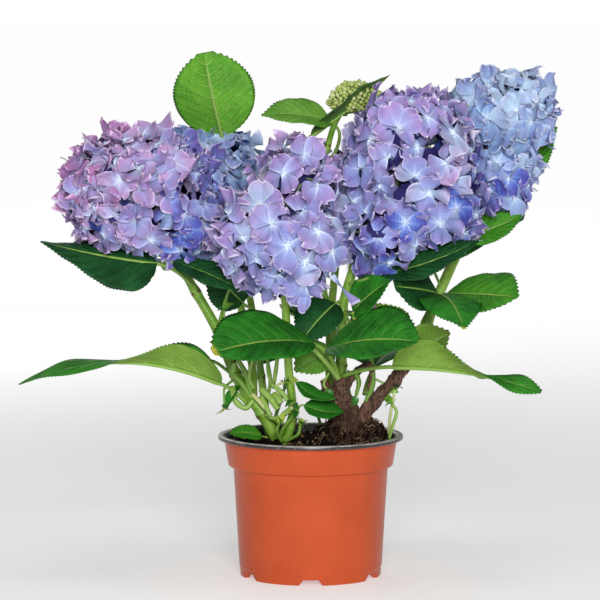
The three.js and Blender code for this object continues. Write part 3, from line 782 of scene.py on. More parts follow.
class LeafShape:
    """The midrib, the outline and the lie of one leaf."""

    def __init__(self, start, base, tip, width, face, arch, fold, tone, more=None):
        more = more or {}
        start, self.base, self.tip, up = (np.array(place, float) for place in (start, base, tip, face))
        self.half_width, self.tone = width / 2, tone
        chord = unit(self.tip - self.base)
        up = unit(up - chord * (up @ chord))
        self.middle = (self.base + self.tip) / 2 + up * 2 * arch
        self.middle[2] += 2 * more.get("hump", 0)
        self.length = float(np.linalg.norm(self.tip - self.base))
        lead = unit(self.base - self.middle) * 0.4 * np.linalg.norm(self.base - start)
        self.stalk = (start, self.base + lead, self.base)
        self.root = unit(self.middle - self.base)
        self.flat = unit(up - self.root * (up @ self.root))
        self.roll, self.twist = math.radians(more.get("roll", 0)), more.get("twist", (0, 1))
        self.folds, self.unfold = (fold, more.get("fold_tip", fold)), more.get("unfold", (0, 1))
        self.widest, self.point = more.get("widest", 0.43), more.get("point", 1.1)

    def outline(self, t):
        """Half-width along the blade, 1 at the widest."""
        near = np.sin(np.pi / 2 * (np.clip(t / self.widest, 0, 1)) ** 0.62)
        far = 1 - np.clip((t - self.widest) / (1 - self.widest), 0, 1) ** 2
        return np.where(t < self.widest, near, far ** self.point)

    def fold(self, t):
        """How far each half lifts above flat along the blade."""
        return np.radians(np.interp(smooth_step(t, *self.unfold), (0, 1), self.folds))

    def lie(self, t):
        """Places, tangents and upper normals along the midrib."""
        t = np.clip(np.asarray(t, float), 0, 1.02)
        spots = bezier(self.base, self.middle, self.tip, t)
        lead, trail = self.middle - self.base, self.tip - self.middle
        along = unit(2 * (1 - t)[:, None] * lead + 2 * t[:, None] * trail)
        axis = np.cross(self.root, along)
        size = np.linalg.norm(axis, axis=1)
        angle = np.arctan2(size, along @ self.root)
        axis = np.where(size[:, None] > 1e-6, axis / np.maximum(size, 1e-6)[:, None], (0.0, 0.0, 1.0))
        normal = turned(np.tile(self.flat, (len(t), 1)), axis, angle)
        return spots, along, turned(normal, along, self.roll * smooth_step(t, *self.twist))


def leaf_piece(name, number):
    shape = LeafShape(*LEAVES[name])
    half = shape.half_width
    rows = 2 * round(shape.length / TOOTH_STEP)
    small = min(1.0, shape.length / 70)
    phase = number * 1.7
    ripple = 0.02 * shape.length

    def surface(u, v, deep=0.0):
        """The upper side, or the under side that lies deep below it and meets it at the margin."""
        s = 2 * v - 1
        reach = np.abs(s)
        inside = (reach < 0.999) & (u > 0.001) & (u < 0.999)
        odd = np.rint(u * rows).astype(int) % 2 == 1
        tooth = (reach > 0.999) & odd & (u > 0.04)
        share = shape.outline(u)
        half_width = half * share
        forward = np.where(tooth, 0.55 * TOOTH_STEP / shape.length, 0)
        spots, along, normal = shape.lie(u + forward)
        side = np.cross(normal, along)
        out = half_width * reach + np.where(tooth, TOOTH_OUT * small * (0.35 + 0.65 * share), 0)
        bend = VEIN_LEAN * reach * (1 - 0.45 * u) * (0.55 + 0.45 * reach)
        vein = (u - bend + 0.012 * np.sin(5 * u + phase + 2 * np.sign(s))) * VEINS
        puff = np.abs(np.sin(np.pi * vein)) ** 0.6 * np.sin(np.pi * np.clip(reach, 0, 1)) ** 0.6
        lift = 1.25 * small * puff * np.minimum(share * 1.4, 1)
        lift += ripple * share * reach ** 2 * np.sin(u * 9.5 + phase + 1.9 * np.sign(s))
        lift += 0.3 * small * reach ** 3 * np.sin(u * 31 + phase * 2 + s)
        lift -= 1.4 * small * (1 - np.clip(reach * 5, 0, 1)) ** 2 * share
        fold = shape.fold(u)
        spots = spots + side * (np.sign(s) * out * np.cos(fold))[:, None]
        return spots + normal * (out * np.sin(fold) + lift - np.where(inside, deep, 0))[:, None]

    bm = new_mesh()
    grid(bm, rows, LEAF_COLS, surface, 0)
    grid(bm, rows, LEAF_COLS, lambda u, v: surface(u, 1 - v, LEAF_THICK), 1)
    bmesh.ops.remove_doubles(bm, verts=bm.verts, dist=1e-3)
    bmesh.ops.dissolve_degenerate(bm, edges=bm.edges, dist=1e-3)
    stalk = bezier(*shape.stalk, np.linspace(0, 1, 15))
    t = np.linspace(0, 0.93, 40)[1:]
    spots, _, normal = shape.lie(t)
    rib = spots - normal * (LEAF_THICK + 1.3 * small * (1 - t) + 0.1)[:, None]
    path = np.vstack([stalk - np.linspace(0, 1, 15)[:, None] * normal[0] * 1.3 * small, rib])
    thick = 1.5 * min(1.0, half / 24)
    radii = np.concatenate([np.linspace(1.25, 1, 15) * thick, thick * (1 - t) ** 0.8 + 0.28])
    tube(bm, path, radii, 8, 2)
    upper, below = LEAF_SKINS[skin_of(name)]
    finish(f"{name}_blade", bm, [upper, below, LEAF_SKINS["stalk"]], [name])


def leaf_pattern(s, wander):
    """Along the blade, out to the margin, between two side veins, and 1 on side veins and on the midrib."""
    split = {"Vector": s.add("ShaderNodeTexCoord", output="UV")}
    u = s.add("ShaderNodeSeparateXYZ", None, split, 0)
    v = s.add("ShaderNodeSeparateXYZ", None, split, 1)
    reach = (v * 2 - 1).size()
    bend = reach * VEIN_LEAN * (1 - u * 0.45) * (reach * 0.45 + 0.55)
    phase = (u - bend + wander * 0.03) * VEINS
    gap = s.add("ShaderNodeMath", {"operation": "PINGPONG"}, [phase, 0.5])
    width = 0.075 - reach * 0.05
    side = s.step(gap - width, -0.05, 0.0, 1.0, 0.0)
    mid = s.step(reach + u * 0.012, 0.018, 0.06, 1.0, 0.0)
    return u, reach, gap, side, mid


def leaf_skin(name, deep, light, vein, gloss, under=False, tipped=False):
    s = Shader(name, IOR=1.45, Specular_IOR_Level=0.22)
    where = s.place()
    cloud = s.noise(where, 0.05, 3)
    u, reach, gap, side, mid = leaf_pattern(s, cloud)
    mesh = s.add("ShaderNodeTexVoronoi", {"feature": "DISTANCE_TO_EDGE"}, {"Vector": where, "Scale": 0.42})
    net = s.step(mesh, 0.02, 0.12, 1.0, 0.0)
    tone = s.mix(s.step(cloud, 0.3, 0.7), linear(*deep), linear(*light))
    tone = s.mix(s.step(gap, 0.05, 0.5) * 0.35, tone, linear(*light))
    tone = s.mix(net * (0.25 if under else 0.12), tone, linear(*vein))
    fade = s.step(reach, 0.5, 1.0, 1.0, 0.35)
    tone = s.mix(side * fade * (0.7 if under else 0.4), tone, linear(*vein))
    tone = s.mix(mid * 0.75, tone, linear(*vein))
    tone = s.mix(s.step(reach, 0.95, 1.0) * 0.3, tone, linear(*light))
    if tipped:
        end = s.step(u + s.noise(where, 0.12, 3) * 0.08, 0.99, 1.04)
        tone = s.mix(end * 0.9, tone, linear(206, 188, 70))
    s.set(Base_Color=tone, Roughness=s.step(cloud, 0.2, 0.8, gloss, gloss + 0.12))
    rise = (side + mid) * (0.9 if under else -0.7) + net * (0.35 if under else -0.4)
    s.bump(rise + s.noise(where, 1.3, 3) * 0.35, 0.5, 0.8)
    return s.material


def skin_of(name):
    """The tone of a leaf, and whether its tip yellows."""
    # The dark tone is painted shade and lit is painted light. Young is also painted light on leaf_low_mid.
    tone = "dark" if name in PAINTED_SHADE_LEAVES else "young" if name in LIGHT_GREEN_LEAVES else LEAVES[name][7]
    return tone, name in TIPPED


def leaf_skins():
    skins = {}
    for tone, tipped in sorted({skin_of(name) for name in LEAVES}):
        deep, light, vein, low, high, rib = LEAF_TONES[tone]
        tag = "_tipped" if tipped else ""
        upper = leaf_skin(f"leaf_{tone}_upper{tag}", deep, light, vein, 0.46, False, tipped)
        under = leaf_skin(f"leaf_{tone}_under{tag}", low, high, rib, 0.52, True, tipped)
        skins[tone, tipped] = (upper, under)
    s = Shader("leaf_stalk", Base_Color=linear(132, 170, 72), Roughness=0.42)
    s.bump(s.noise(s.place((1, 1, 0.2)), 0.9, 2), 0.2, 0.5)
    skins["stalk"] = s.material
    return skins


# ---- Flower heads ----------------------------------------------------------------------------------
# balls: the middle and half-sizes of each lobe of a head; size: floret across; cover: how many florets lie
# over each other; ruffle: how tilted and waved they are; run: the way the tones go, first to last.
HEADS = {
    "bloom_left": dict(
        balls=[((-128, -5, 296), (71, 61, 54)), ((-101, -8, 272), (40, 44, 34))], size=(28, 36), cover=2.9,
        ruffle=1.0, run=(0.9, 0.1, -0.5), slot="petal_lilac", stems=[(-112, -5, 261)],
        tones=["pink", "pink", "pink_lilac", "pink_lilac", "dusk", "pink_lilac", "dusk", "lilac", "dusk",
               "lavender", "violet", "periwinkle", "violet", "blue_violet"]),
    "bloom_centre": dict(
        balls=[((-24, -55, 265), (55, 52, 51)), ((-8, -48, 309), (38, 42, 33))], size=(33, 39), cover=1.8,
        ruffle=0.85, run=(0.15, 0, -1), slot="petal_lilac", stems=[(-20, -45, 231)],
        tones=["pink_lilac", "dusk", "pale_lilac", "dusk", "lilac", "pale_lavender", "lavender", "lilac",
               "periwinkle", "lavender"]),
    "bloom_right": dict(
        balls=[
            ((75, -10, 321), (58, 56, 62)), ((56, -28, 272), (43, 40, 38)), ((100, -6, 284), (38, 42, 36))],
        size=(32, 39), cover=1.9, ruffle=0.85, run=(0.35, 0, -0.95), slot="petal_lavender",
        stems=[(36, -8, 249)],
        tones=["dusk", "pink_lilac", "dusk", "lilac", "lavender", "pale_lavender", "lavender", "violet",
               "lavender", "violet", "blue_violet"]),
    "bloom_far_right": dict(
        balls=[
            ((151, 46, 356), (46, 52, 38)), ((146, 40, 312), (34, 44, 44)), ((127, 38, 362), (23, 30, 26))],
        size=(29, 36), cover=2.4, ruffle=0.85, run=(0.5, 0, 1), slot="petal_blue", stems=[(144, 44, 295)],
        tones=["blue_violet", "violet", "periwinkle", "blue", "periwinkle", "sky_blue", "periwinkle",
               "sky_blue"]),
    "bloom_blue": dict(
        balls=[((-76, 56, 303), (50, 47, 46))], size=(32, 38), cover=2.1, ruffle=0.7, run=(0.2, -0.3, 1),
        slot="petal_blue", stems=[(-64, 44, 267), (-58, 40, 267)],
        tones=["deep_blue", "blue", "blue", "blue", "periwinkle", "sky_blue"]),
    "bloom_back": dict(
        balls=[((27, 84, 283), (52, 46, 46))], size=(32, 38), cover=2.1, ruffle=0.7, run=(-0.6, 0.2, 0.6),
        slot="petal_violet", stems=[(22, 74, 251)],
        tones=["violet", "lavender", "violet", "blue_violet", "lavender", "periwinkle"]),
}
TONES = {  # a petal's colour towards its end, and the cooler colour that it takes towards the eye
    "pink": ((180, 124, 178), (172, 142, 196)),
    "pink_lilac": ((182, 148, 196), (172, 162, 210)),
    "dusk": ((158, 134, 190), (152, 150, 208)),
    "pale_lilac": ((192, 178, 208), (178, 182, 216)),
    "lilac": ((158, 140, 190), (150, 152, 206)),
    "pale_lavender": ((170, 164, 202), (162, 174, 214)),
    "lavender": ((142, 134, 190), (138, 148, 206)),
    "violet": ((110, 98, 170), (112, 124, 196)),
    "blue_violet": ((80, 78, 164), (88, 112, 198)),
    "periwinkle": ((140, 152, 200), (148, 174, 218)),
    "sky_blue": ((170, 186, 220), (176, 202, 232)),
    "blue": ((130, 152, 200), (140, 172, 216)),
    "deep_blue": ((84, 106, 170), (96, 132, 196)),
    # shade_violet and shade_blue are painted shade: the florets sunk inside each head are near-black, so
    # the gaps between the outer florets read as shadow.
    "shade_violet": ((46, 38, 98), (52, 52, 118)),
    "shade_blue": ((32, 44, 108), (42, 64, 132)),
}
TONE_NAMES = list(TONES)
EYE = (218, 236, 250)
# The pale rim on each petal is a painted highlight, standing for the light caught along the petal's edge.
PAINTED_RIM_HIGHLIGHT = (244, 238, 250)
BANDS = 8  # the eye, six steps out along the petal, and the rim
BEAD_SLOT = BANDS * len(TONES)
PETAL_ROWS = [0.0, 0.09, 0.18, 0.3, 0.44, 0.62, 0.8, 0.94, 1.0]
PETAL_COLS = [-1.0, -0.93, -0.7, -0.4, -0.13, 0.13, 0.4, 0.7, 0.93, 1.0]
PLAIN_ROWS = [0.0, 0.3, 0.62, 1.0]
PLAIN_COLS = [-1.0, -0.4, 0.4, 1.0]
PETAL_FOOT = 0.13  # how wide the foot is, of the widest
PETAL_WIDEST, PETAL_END = 0.56, 0.47  # where it is widest, and the reach of the round end beyond
CUPPED_SHARE, OTHER_TONE_SHARE = 0.16, 0.2  # of the florets, and of the petals
FLORET_FILL = 0.78  # how much of its square a floret fills
# The florets below the surface are dark as painted shade in the gaps.
INNER_SUNK, INNER_COVER = 17, 0.9  # the dark florets below the surface: how far, and how dense
BARE_BELOW, SPREAD_BELOW = -0.95, -0.401  # heights on a lobe: no florets, and florets that lean outwards


def petal_pattern(seed, cup, wave, broad, across=PETAL_COLS, along=PETAL_ROWS):
    """One petal a unit long on +X, its upper side up, with bands of colour from the eye to the rim."""
    own = random.Random(seed)
    phases = [own.uniform(0, ALL_ROUND) for _ in range(5)]
    dent, skew = own.uniform(-0.03, 0.07), own.uniform(-0.12, 0.12)
    rows, cols = len(along) - 1, len(across) - 1
    bm = new_mesh()

    def place(u, v):
        u = np.interp(u, np.linspace(0, 1, rows + 1), along)
        s = np.interp(v, np.linspace(0, 1, cols + 1), across)
        near = PETAL_FOOT + (1 - PETAL_FOOT) * np.sin(np.pi / 2 * np.clip(u / PETAL_WIDEST, 0, 1)) ** 1.15
        far = np.sqrt(np.clip(1 - ((u - PETAL_WIDEST) / PETAL_END) ** 2, 0, 1))
        wide = broad * np.where(u < PETAL_WIDEST, near, far)
        x = u * (1 - 0.05 * s * s * u ** 3 - dent * u ** 6 * (1 - s * s))
        x += 0.02 * np.sin(6 * s + phases[4]) * u ** 4
        y = s * wide + skew * u * u * 0.5
        z = cup * u * u - 0.1 * wide * s * s * u + 0.05 * np.abs(s) * (1 - u)
        z += wave * u ** 2.5 * (0.06 * np.sin(3.6 * s + phases[0]) + 0.045 * np.sin(7.5 * s + phases[1]))
        z += wave * 0.04 * np.sin(6 * u + phases[2]) * s - 0.02 * np.exp(-(s / 0.12) ** 2) * u * (1 - u) * 3
        return np.stack([x, y, z], 1)

    _, faces = grid(bm, rows, cols, place)
    layer = bm.loops.layers.uv.active
    for face in faces:
        middle = sum((loop[layer].uv for loop in face.loops), Vector((0, 0))) / len(face.loops)
        row, col = int(middle.x * rows), int(middle.y * cols)
        band = row if rows + 1 == len(PETAL_ROWS) else 2 * row + 2
        if band in (1, 2, 3, 4) and col in (1, 4, 7) and rows > 4:
            band -= 1
        # The petal's two long edges also take the rim band, the painted highlight.
        if band > 3 and rows > 4 and col in (0, cols - 1):
            band = BANDS - 1
        face.material_index = band
    return Pattern(bm)


class Head:
    """A round flower head: its florets, their stalks, and the colours dealt out over it."""

    def __init__(self, row, patterns):
        self.row, self.patterns = row, patterns
        self.balls = [(Vector(at), Vector(half)) for at, half in row["balls"]]
        self.run = Vector(row["run"]).normalized()
        self.petals, self.twigs, self.knots = Swarm(), Swarm(), []
        low = Vector(min(at[i] - half[i] for at, half in self.balls) for i in range(3))
        high = Vector(max(at[i] + half[i] for at, half in self.balls) for i in range(3))
        self.middle, self.half = (low + high) / 2, (high - low) / 2

    def depth(self, spot, skip=None):
        """How far out a place is: 1 on the head's surface. A lobe can be left out."""
        depths = [math.sqrt(sum(((spot[i] - at[i]) / half[i]) ** 2 for i in range(3)))
                  for k, (at, half) in enumerate(self.balls) if k != skip]
        return min(depths, default=9.0)

    def tone(self, spot, inner):
        if inner:
            # The sunk florets take the shade tones, as painted shade for the gaps between the outer
            # florets.
            blue = self.row["slot"] == "petal_blue"
            return "shade_blue" if blue or rng.random() < 0.3 else "shade_violet"
        tones = self.row["tones"]
        way = Vector((spot[i] - self.middle[i]) / self.half[i] for i in range(3))
        share = 0.5 + 0.48 * way.dot(self.run) + rng.gauss(0, 0.13)
        return tones[min(max(int(share * len(tones)), 0), len(tones) - 1)]

    def floret(self, spot, out, size, tone, ruffle, inner=False):
        tilt = Vector([rng.gauss(0, 1) for _ in range(3)]).cross(out).normalized()
        angle = min(abs(rng.gauss(0, 0.45)) * ruffle + 0.06, 1.15)
        out = Matrix.Rotation(angle, 3, tilt) @ out
        turn = Matrix.Translation(spot) @ facing(out) @ Matrix.Rotation(rng.uniform(0, ALL_ROUND), 4, "Z")
        kind = "ruffled" if rng.random() < ruffle * 0.6 else "open"
        if rng.random() < CUPPED_SHARE:
            kind = "cupped"
        if inner:
            kind = "plain"
        index = TONE_NAMES.index(tone)
        other = index if inner else TONE_NAMES.index(self.tone(spot, False))
        pull = rng.uniform(-0.02, 0.16)
        for k in range(4):
            spin = Matrix.Rotation(math.pi / 2 * k + rng.gauss(0, 0.08), 4, "Z")
            lean = Matrix.Rotation(pull + rng.gauss(0, 0.1) * (0.4 + ruffle), 4, "Y")
            roll = Matrix.Rotation(rng.gauss(0.22, 0.08), 4, "X")
            long = size / 2 * rng.uniform(0.9, 1.06)
            put = turn @ spin @ lean @ roll @ Matrix.Scale(long, 4)
            use = other if rng.random() < OTHER_TONE_SHARE else index
            self.petals.add(rng.choice(self.patterns[kind]), put, use * BANDS)
        if not inner:
            bead = turn @ Matrix.Translation((0, 0, 0.6)) @ Matrix.Scale(rng.uniform(0.7, 1.05), 4)
            self.petals.add(self.patterns["bead"], bead, BEAD_SLOT)
        self.knots.append(Vector(spot) - out * 0.6)

    def grow(self, others):
        low, high = self.row["size"]
        wide = (low + high) / 2
        for lobe, (at, half) in enumerate(self.balls):
            a, b, c = half
            area = 4 * math.pi * (((a * b) ** 1.6 + (a * c) ** 1.6 + (b * c) ** 1.6) / 3) ** (1 / 1.6)
            mean = (a + b + c) / 3
            outer_sunk = 4 + 4.5 * self.row["ruffle"]
            layers = ((False, outer_sunk, self.row["cover"]), (True, INNER_SUNK, INNER_COVER))
            for inner, sunk, cover in layers:
                depth = 1 - sunk / mean
                count = int(cover * area * depth ** 2 / (FLORET_FILL * wide ** 2))
                for k in range(count):
                    way = spiral_way(k, count, 2, 0.06)
                    if way.z < BARE_BELOW:
                        continue
                    spot = at + part_way(way, half, depth + rng.uniform(-6.0, 1.0) / mean)
                    if self.depth(spot, lobe) < depth - 0.04:
                        continue
                    if any(other.depth(spot) < depth - 0.08 for other in others):
                        continue
                    normal = Vector(way[i] / half[i] for i in range(3)).normalized()
                    if way.z < SPREAD_BELOW:
                        normal = (normal + Vector((way.x, way.y, 0)) * 0.5).normalized()
                    self.floret(spot, normal, rng.uniform(low, high), self.tone(spot, inner),
                                self.row["ruffle"], inner)

    def branch(self, twig):
        """Twigs fork from the stem's end, and fork again, to reach every floret."""
        root = Vector(self.row["stems"][0])
        forks = []
        for depth, count in ((0.34, 7), (0.6, 26)):
            level = []
            for at, half in self.balls:
                share = max(3, round(count * half.x / self.balls[0][1].x))
                for k in range(share):
                    level.append(at + part_way(spiral_way(k, share, 1.75, 0.1), half, depth))
            forks.append(level)
        for spot in forks[0]:
            self.twigs.add(twig, from_to(root, spot, 1.25))
        for spot in forks[1]:
            near = min(forks[0], key=lambda other: (other - spot).length)
            self.twigs.add(twig, from_to(near, spot, 0.9))
        for knot in self.knots:
            near = min(forks[1], key=lambda other: (other - knot).length)
            self.twigs.add(twig, from_to(near, knot, 0.55), 1)
        for other in self.row["stems"][1:]:
            self.twigs.add(twig, from_to(other, forks[0][0], 1.4))


def petal_materials():
    """One even colour for each band of each tone, then the bead."""
    made = []
    for name, (outer, cool) in TONES.items():
        eye = blend(cool, EYE, 0.25 if name.startswith("shade") else 0.85)
        # The last band, the rim, is blended towards pale as a painted highlight.
        steps = [eye, blend(cool, eye, 0.52), blend(cool, eye, 0.24), blend(cool, eye, 0.08),
                 blend(outer, cool, 0.6), blend(outer, cool, 0.25), outer, blend(outer, PAINTED_RIM_HIGHLIGHT, 0.5)]
        for band, colour in enumerate(steps):
            made.append(plain(f"petal_{name}_{band}", linear(*colour), 0.55, Specular_IOR_Level=0.3))
    made.append(plain("floret_bead", linear(236, 244, 250), 0.35))
    return made


def used_only(mesh, materials):
    """Keeps the materials that a mesh shows, and numbers its faces again to match."""
    slots = np.empty(len(mesh.polygons), np.int32)
    mesh.polygons.foreach_get("material_index", slots)
    used, again = np.unique(slots, return_inverse=True)
    mesh.polygons.foreach_set("material_index", again.astype(np.int32).ravel())
    return [materials[i] for i in used]


def head_pieces():
    patterns = {
        "open": [petal_pattern(i, -0.12 + 0.04 * i, 1.8, 0.54 + 0.02 * (i % 3)) for i in range(7)],
        "ruffled": [petal_pattern(20 + i, -0.14 + 0.08 * i, 3.2, 0.55) for i in range(7)],
        "cupped": [petal_pattern(40 + i, 0.28 + 0.08 * i, 1.6, 0.54) for i in range(4)],
        "plain": [petal_pattern(60 + i, 0.1 * i, 1.5, 0.56, PLAIN_COLS, PLAIN_ROWS) for i in range(4)],
        "bead": Pattern(ball(1)),
    }
    twig = twig_pattern(0.06)
    materials = petal_materials()
    heads = {name: Head(row, patterns) for name, row in HEADS.items()}
    stalks = [plain("cyme_branch", linear(140, 168, 100), 0.5),
              plain("floret_stalk", linear(158, 160, 182), 0.5)]
    for name, head in heads.items():
        head.grow([other for key, other in heads.items() if key != name])
        head.branch(twig)
        if name == "bloom_centre":
            loose_petals(head)
        mesh = head.petals.mesh(f"{name}_florets")
        finish(f"{name}_florets", mesh, used_only(mesh, materials), [name])
        finish(f"{name}_branches", head.twigs.mesh(f"{name}_branches"), stalks, [])


def loose_petals(head):
    """Single petals that hang below the front head: foot, tip, the way they face, width, tone."""
    for foot, tip, face, width, tone in (
        ((17, -62, 238), (31, -66, 214), (-0.9, -0.5, -0.4), 9, "lavender"),
        ((-3, -66, 228), (-6, -72, 209), (0.5, -0.8, 0.1), 10, "lavender"),
        ((43, -30, 214), (49, -32, 209), (0.2, -0.9, 0.4), 6, "pink"),
    ):
        along = (Vector(tip) - Vector(foot))
        up = Vector(face)
        up = (up - along * up.dot(along) / along.length_squared).normalized()
        side = up.cross(along.normalized())
        turn = Matrix((along, side * width * 0.92, up * along.length)).transposed().to_4x4()
        put = Matrix.Translation(foot) @ turn
        head.petals.add(head.patterns["open"][1], put, TONE_NAMES.index(tone) * BANDS)


# ---- Bud head and young growth ---------------------------------------------------------------------
BUD_HEAD = (Vector((36, 67, 364)), Vector((22, 18, 15)))  # its middle and half-sizes
BUDS = 300


def bud_pieces():
    at, half = BUD_HEAD
    bm = ball(1)
    for vert in bm.verts:
        vert.co.z *= 1.25
    bud, twig = Pattern(bm), twig_pattern(0.04)
    swarm, root = Swarm(), Vector((28, 64, 354))
    for k in range(BUDS):
        way = spiral_way(k, BUDS, 1.6)
        spot = at + Vector(way[i] * half[i] * rng.uniform(0.78, 1.0) for i in range(3))
        put = Matrix.Translation(spot) @ facing(way) @ Matrix.Scale(rng.uniform(1.2, 2.3), 4)
        swarm.add(bud, put, rng.choice([0, 0, 1, 1, 2]))
        if k % 2 == 0:
            swarm.add(twig, from_to(root, spot, 0.55), 3)
    tones = [(196, 206, 126), (168, 190, 96), (220, 222, 166), (142, 172, 76)]
    mesh = swarm.mesh("bud_head_buds")
    finish("bud_head_buds", mesh, plains("bud", tones, 0.45), ["bud_head"])


def leaflet_pattern(seed):
    """A small young leaf a unit long on +X."""
    own = random.Random(seed)
    bend, fold = own.uniform(0.1, 0.4), own.uniform(0.15, 0.5)

    def place(u, v):
        s = 2 * v - 1
        wide = 0.3 * np.sin(np.pi * u ** 0.75) + 0.02
        return np.stack([u, s * wide, bend * u * (1 - u) * 2 - 0.25 * u * u + fold * wide * np.abs(s)], 1)

    bm = new_mesh()
    grid(bm, 6, 4, place)
    return Pattern(bm)


# Where a shoot starts, passes and ends; its radius at both ends; its skin: 0 green, 1 pale, 2 cream;
# how many pairs of small leaves it has at its end.
SHOOTS = [
    ([(-45, -12, 138), (-53, -13, 150), (-61, -12, 160), (-64, -10, 178)], (2.6, 2.2), 0, 0),
    ([(-44, -13, 137), (-50, -14, 131), (-58, -14, 137), (-60, -14, 148)], (1.9, 2.4), 1, 0),
    ([(-45, -12, 137), (-49, -12, 154), (-51, -12, 160), (-61, -12, 176)], (2.4, 1.8), 0, 0),
    ([(-45, -14, 142), (-37, -18, 134), (-30, -20, 126)], (1.9, 1.5), 2, 0),
    ([(-44, -14, 146), (-47, -15, 158), (-40, -18, 182)], (1.5, 1.1), 1, 0),
    ([(-29, -14, 147), (-27, -16, 158), (-24, -18, 182)], (1.7, 1.4), 1, 0),
    ([(-36, -12, 130), (-31, -14, 152), (-36, -14, 182)], (1.5, 1.2), 0, 0),
    ([(-28, -16, 146), (-33, -14, 160), (-31, -14, 184)], (1.2, 0.9), 1, 0),
    ([(-38, -14, 146), (-30, -18, 138), (-25, -22, 131)], (2.9, 2.4), 1, 0),
    ([(-30, -18, 150), (-22, -22, 144), (-18, -22, 138)], (1.6, 1.9), 1, 2),
    ([(-22, -18, 136), (-26, -20, 148), (-20, -22, 152)], (1.3, 1.0), 2, 2),
    ([(-34, -16, 126), (-27, -22, 124), (-15, -24, 130)], (1.7, 1.2), 1, 2),
    ([(-24, -18, 108), (-20, -24, 118), (-14, -26, 126)], (1.8, 1.2), 0, 3),
    ([(-22, -20, 106), (-26, -26, 114), (-24, -28, 121)], (1.6, 1.0), 0, 3),
    ([(-20, -20, 106), (-10, -26, 112), (-8, -26, 119)], (1.5, 1.0), 0, 3),
    ([(-62, -10, 158), (-74, -8, 166), (-84, -8, 166)], (1.4, 1.0), 0, 0),
    ([(-60, -12, 152), (-66, -16, 146), (-66, -18, 134)], (1.0, 0.8), 0, 3),
    ([(22, -8, 152), (14, -14, 164), (-4, -18, 184)], (2.6, 1.9), 1, 0),
    ([(20, -8, 160), (8, -12, 172), (-4, -14, 178)], (1.9, 1.5), 1, 0),
    ([(22, -6, 153), (16, -4, 168), (17, -4, 182)], (1.9, 1.7), 0, 0),
    ([(34, -6, 158), (37, -7, 150), (35, -6, 140)], (2.2, 1.4), 0, 1),
    ([(46, -2, 172), (48, -2, 150), (42, -2, 132)], (1.8, 2.0), 0, 0),
    ([(50, -4, 152), (56, -6, 149), (60, -8, 146)], (0.9, 0.8), 1, 2),
    ([(60, -3, 101), (61, -6, 122), (65, -8, 146)], (1.3, 0.9), 2, 3),
    ([(59, -6, 101), (63, -8, 116), (66, -8, 127), (62, -9, 134)], (1.5, 1.0), 1, 3),
    ([(22, -12, 186), (28, -18, 196), (31, -22, 200)], (0.9, 0.8), 1, 3),
    ([(14, -12, 158), (10, -16, 150), (12, -16, 146)], (0.9, 0.8), 1, 2),
    ([(24, 20, 118), (27, 27, 134), (30, 34, 150)], (1.5, 1.1), 0, 2),
    ([(-30, 12, 112), (-25, 21, 127), (-20, 30, 142)], (1.5, 1.1), 0, 2),
    ([(10, 22, 106), (6, 29, 119), (2, 36, 132)], (1.4, 1.0), 0, 2),
    ([(-70, -8, 190), (-67, -14, 198), (-66, -18, 206)], (1.2, 0.9), 0, 1),
    ([(-71, -9, 192), (-66, -12, 211), (-60, -14, 230)], (1.5, 1.0), 0, 1),
    ([(84, 2, 186), (78, -2, 193), (72, -6, 200)], (1.1, 0.8), 0, 1),
    ([(101, 9, 220), (97, 5, 230), (92, 2, 240)], (1.2, 0.9), 0, 1),
]
STUBS = [  # cut stubs: foot, end and radius
    ((-28, -18, 142), (-23, -24, 136), 2.2), ((-38, -15, 140), (-31, -22, 126), 1.7),
    ((-26, -14, 120), (-14, -26, 133), 2.0), ((12, -4, 146), (10, -6, 152), 3.2),
    ((17, -4, 140), (9, -6, 146), 2.6), ((26, -4, 132), (19, -8, 134), 2.4),
    ((-60, -12, 158), (-59, -14, 166), 2.2),
]


def shoot_pieces():
    bm = new_mesh()
    leaflets = Swarm()
    shapes = [leaflet_pattern(i) for i in range(5)]
    for points, (foot, end), skin, pairs in SHOOTS:
        path = smooth_path(points, 20)
        swell = 1 + 0.16 * np.exp(-((np.linspace(0, 1, 20) - 0.55) / 0.06) ** 2)
        tube(bm, path, np.linspace(foot, end, 20) * swell, 8, skin)
        way = Vector(path[-1] - path[-3]).normalized()
        for pair in range(pairs):
            for k in range(2):
                spin = Matrix.Rotation(math.pi * k + math.pi / 2 * pair + rng.gauss(0, 0.3), 4, "Z")
                lean = Matrix.Rotation(rng.uniform(-1.2, -0.5), 4, "Y")
                size = rng.uniform(6, 12) * (1 - 0.2 * pair)
                put = Matrix.Translation(path[-1] - np.array(way) * pair * 1.5) @ facing(way) @ spin @ lean
                leaflets.add(rng.choice(shapes), put @ Matrix.Scale(size, 4), rng.choice([0, 1, 2]))
    for start, end, thick in STUBS:
        path = smooth_path([start, (np.array(start) + end) / 2 + (0, -0.6, 0.8), end], 10)
        tube(bm, path, np.linspace(thick * 1.15, thick, 10), 10, 3 if start[0] > 0 else 1)
        tube(bm, path[-2:] + unit(path[-1] - path[-2]) * 0.15, np.full(2, thick * 0.8), 10, 4)
    skins = [plain(name, linear(*tone), 0.45) for name, tone in (
        ("shoot_green", (112, 156, 54)), ("shoot_pale", (142, 178, 82)), ("shoot_cream", (188, 196, 128)),
        ("stub_bark", (92, 58, 44)), ("cut_end", (196, 184, 140)))]
    finish("young_shoots", bm, skins, [])
    skins = [plain(name, linear(*tone), rough) for name, tone, rough in (
        ("young_leaf_deep", (50, 116, 42), 0.4), ("young_leaf", (104, 156, 50), 0.4),
        ("young_leaf_pale", (166, 188, 76), 0.42))]
    finish("young_leaves", leaflets.mesh("young_leaves"), skins, [])


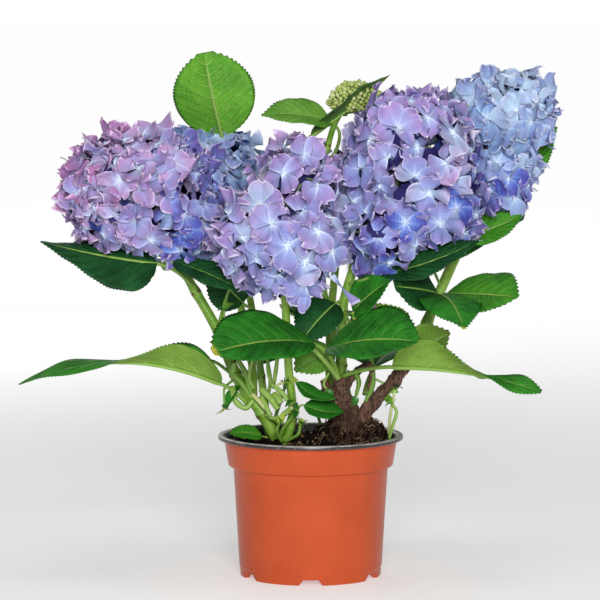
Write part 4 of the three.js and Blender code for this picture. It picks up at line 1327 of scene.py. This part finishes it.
# ---- Stage -----------------------------------------------------------------------------------------
FLOOR_RADIUS = 60  # metres
FLOOR_REACH, FLOOR_GLOW = (400, 2600), (0.42, 0.93)  # the floor's own light rises between these distances
SKY_LIGHT = 0.08  # the strength of the white surroundings as light
LIT_PLACE = Vector((0, 0, 0.24))
LAMPS = [  # place, width and height in metres, and power
    ("key", (0.12, -2.2, 0.85), (0.7, 0.6), 37), ("top", (0.1, -0.2, 1.9), (0.9, 0.9), 6),
    ("strip", (0.12, -2.1, 0.3), (0.16, 0.9), 4.0), ("back", (-0.5, 1.7, 1.0), (1.0, 1.0), 6),
]


def stage():
    bm = new_mesh()
    bmesh.ops.create_circle(bm, cap_ends=True, segments=96, radius=FLOOR_RADIUS)
    floor = add_object("floor", mesh_of("floor", bm))
    s = Shader("pale_floor", Base_Color=linear(212, 212, 212), Roughness=0.95, Emission_Strength=1.0)
    away = s.add("ShaderNodeVectorMath", {"operation": "LENGTH"}, [s.place()], 1)
    near, far = [(glow, glow, glow, 1) for glow in FLOOR_GLOW]
    s.set(Emission_Color=s.mix(s.step(away, *FLOOR_REACH), near, far))
    floor.data.materials.append(s.material)

    world = bpy.data.worlds.new("studio")
    bpy.context.scene.world = world
    world.use_nodes = True
    nodes, links = world.node_tree.nodes, world.node_tree.links
    sky = nodes["Background"]
    sky.inputs["Color"].default_value = (1, 1, 1, 1)
    path = nodes.new("ShaderNodeLightPath")
    dim = nodes.new("ShaderNodeMapRange")
    dim.inputs["To Min"].default_value = SKY_LIGHT
    links.new(path.outputs["Is Camera Ray"], dim.inputs["Value"])
    links.new(dim.outputs["Result"], sky.inputs["Strength"])

    for name, place, size, power in LAMPS:
        lamp = bpy.data.lights.new(name, "AREA")
        lamp.shape = "RECTANGLE"
        (lamp.size, lamp.size_y), lamp.energy = size, power
        obj = add_object(name, lamp)
        obj.location = place
        obj.rotation_euler = (LIT_PLACE - Vector(place)).to_track_quat("-Z", "Y").to_euler()

    camera = bpy.data.cameras.new("camera")
    camera.lens, camera.sensor_width = CAMERA_LENS, 36
    camera.clip_end = 200
    obj = add_object("camera", camera)
    obj.location = Vector(CAMERA_AT) * MM
    obj.rotation_euler = (math.radians(90 - CAMERA_DOWN), 0, 0)
    bpy.context.scene.camera = obj
    bpy.context.scene.view_settings.view_transform = "Standard"


LEAF_SKINS = leaf_skins()
pot_piece()
peat_pieces()
fibre_piece()
stem_pieces()
for number, leaf_name in enumerate(LEAVES):
    leaf_piece(leaf_name, number)
head_pieces()
bud_pieces()
shoot_pieces()
stage()
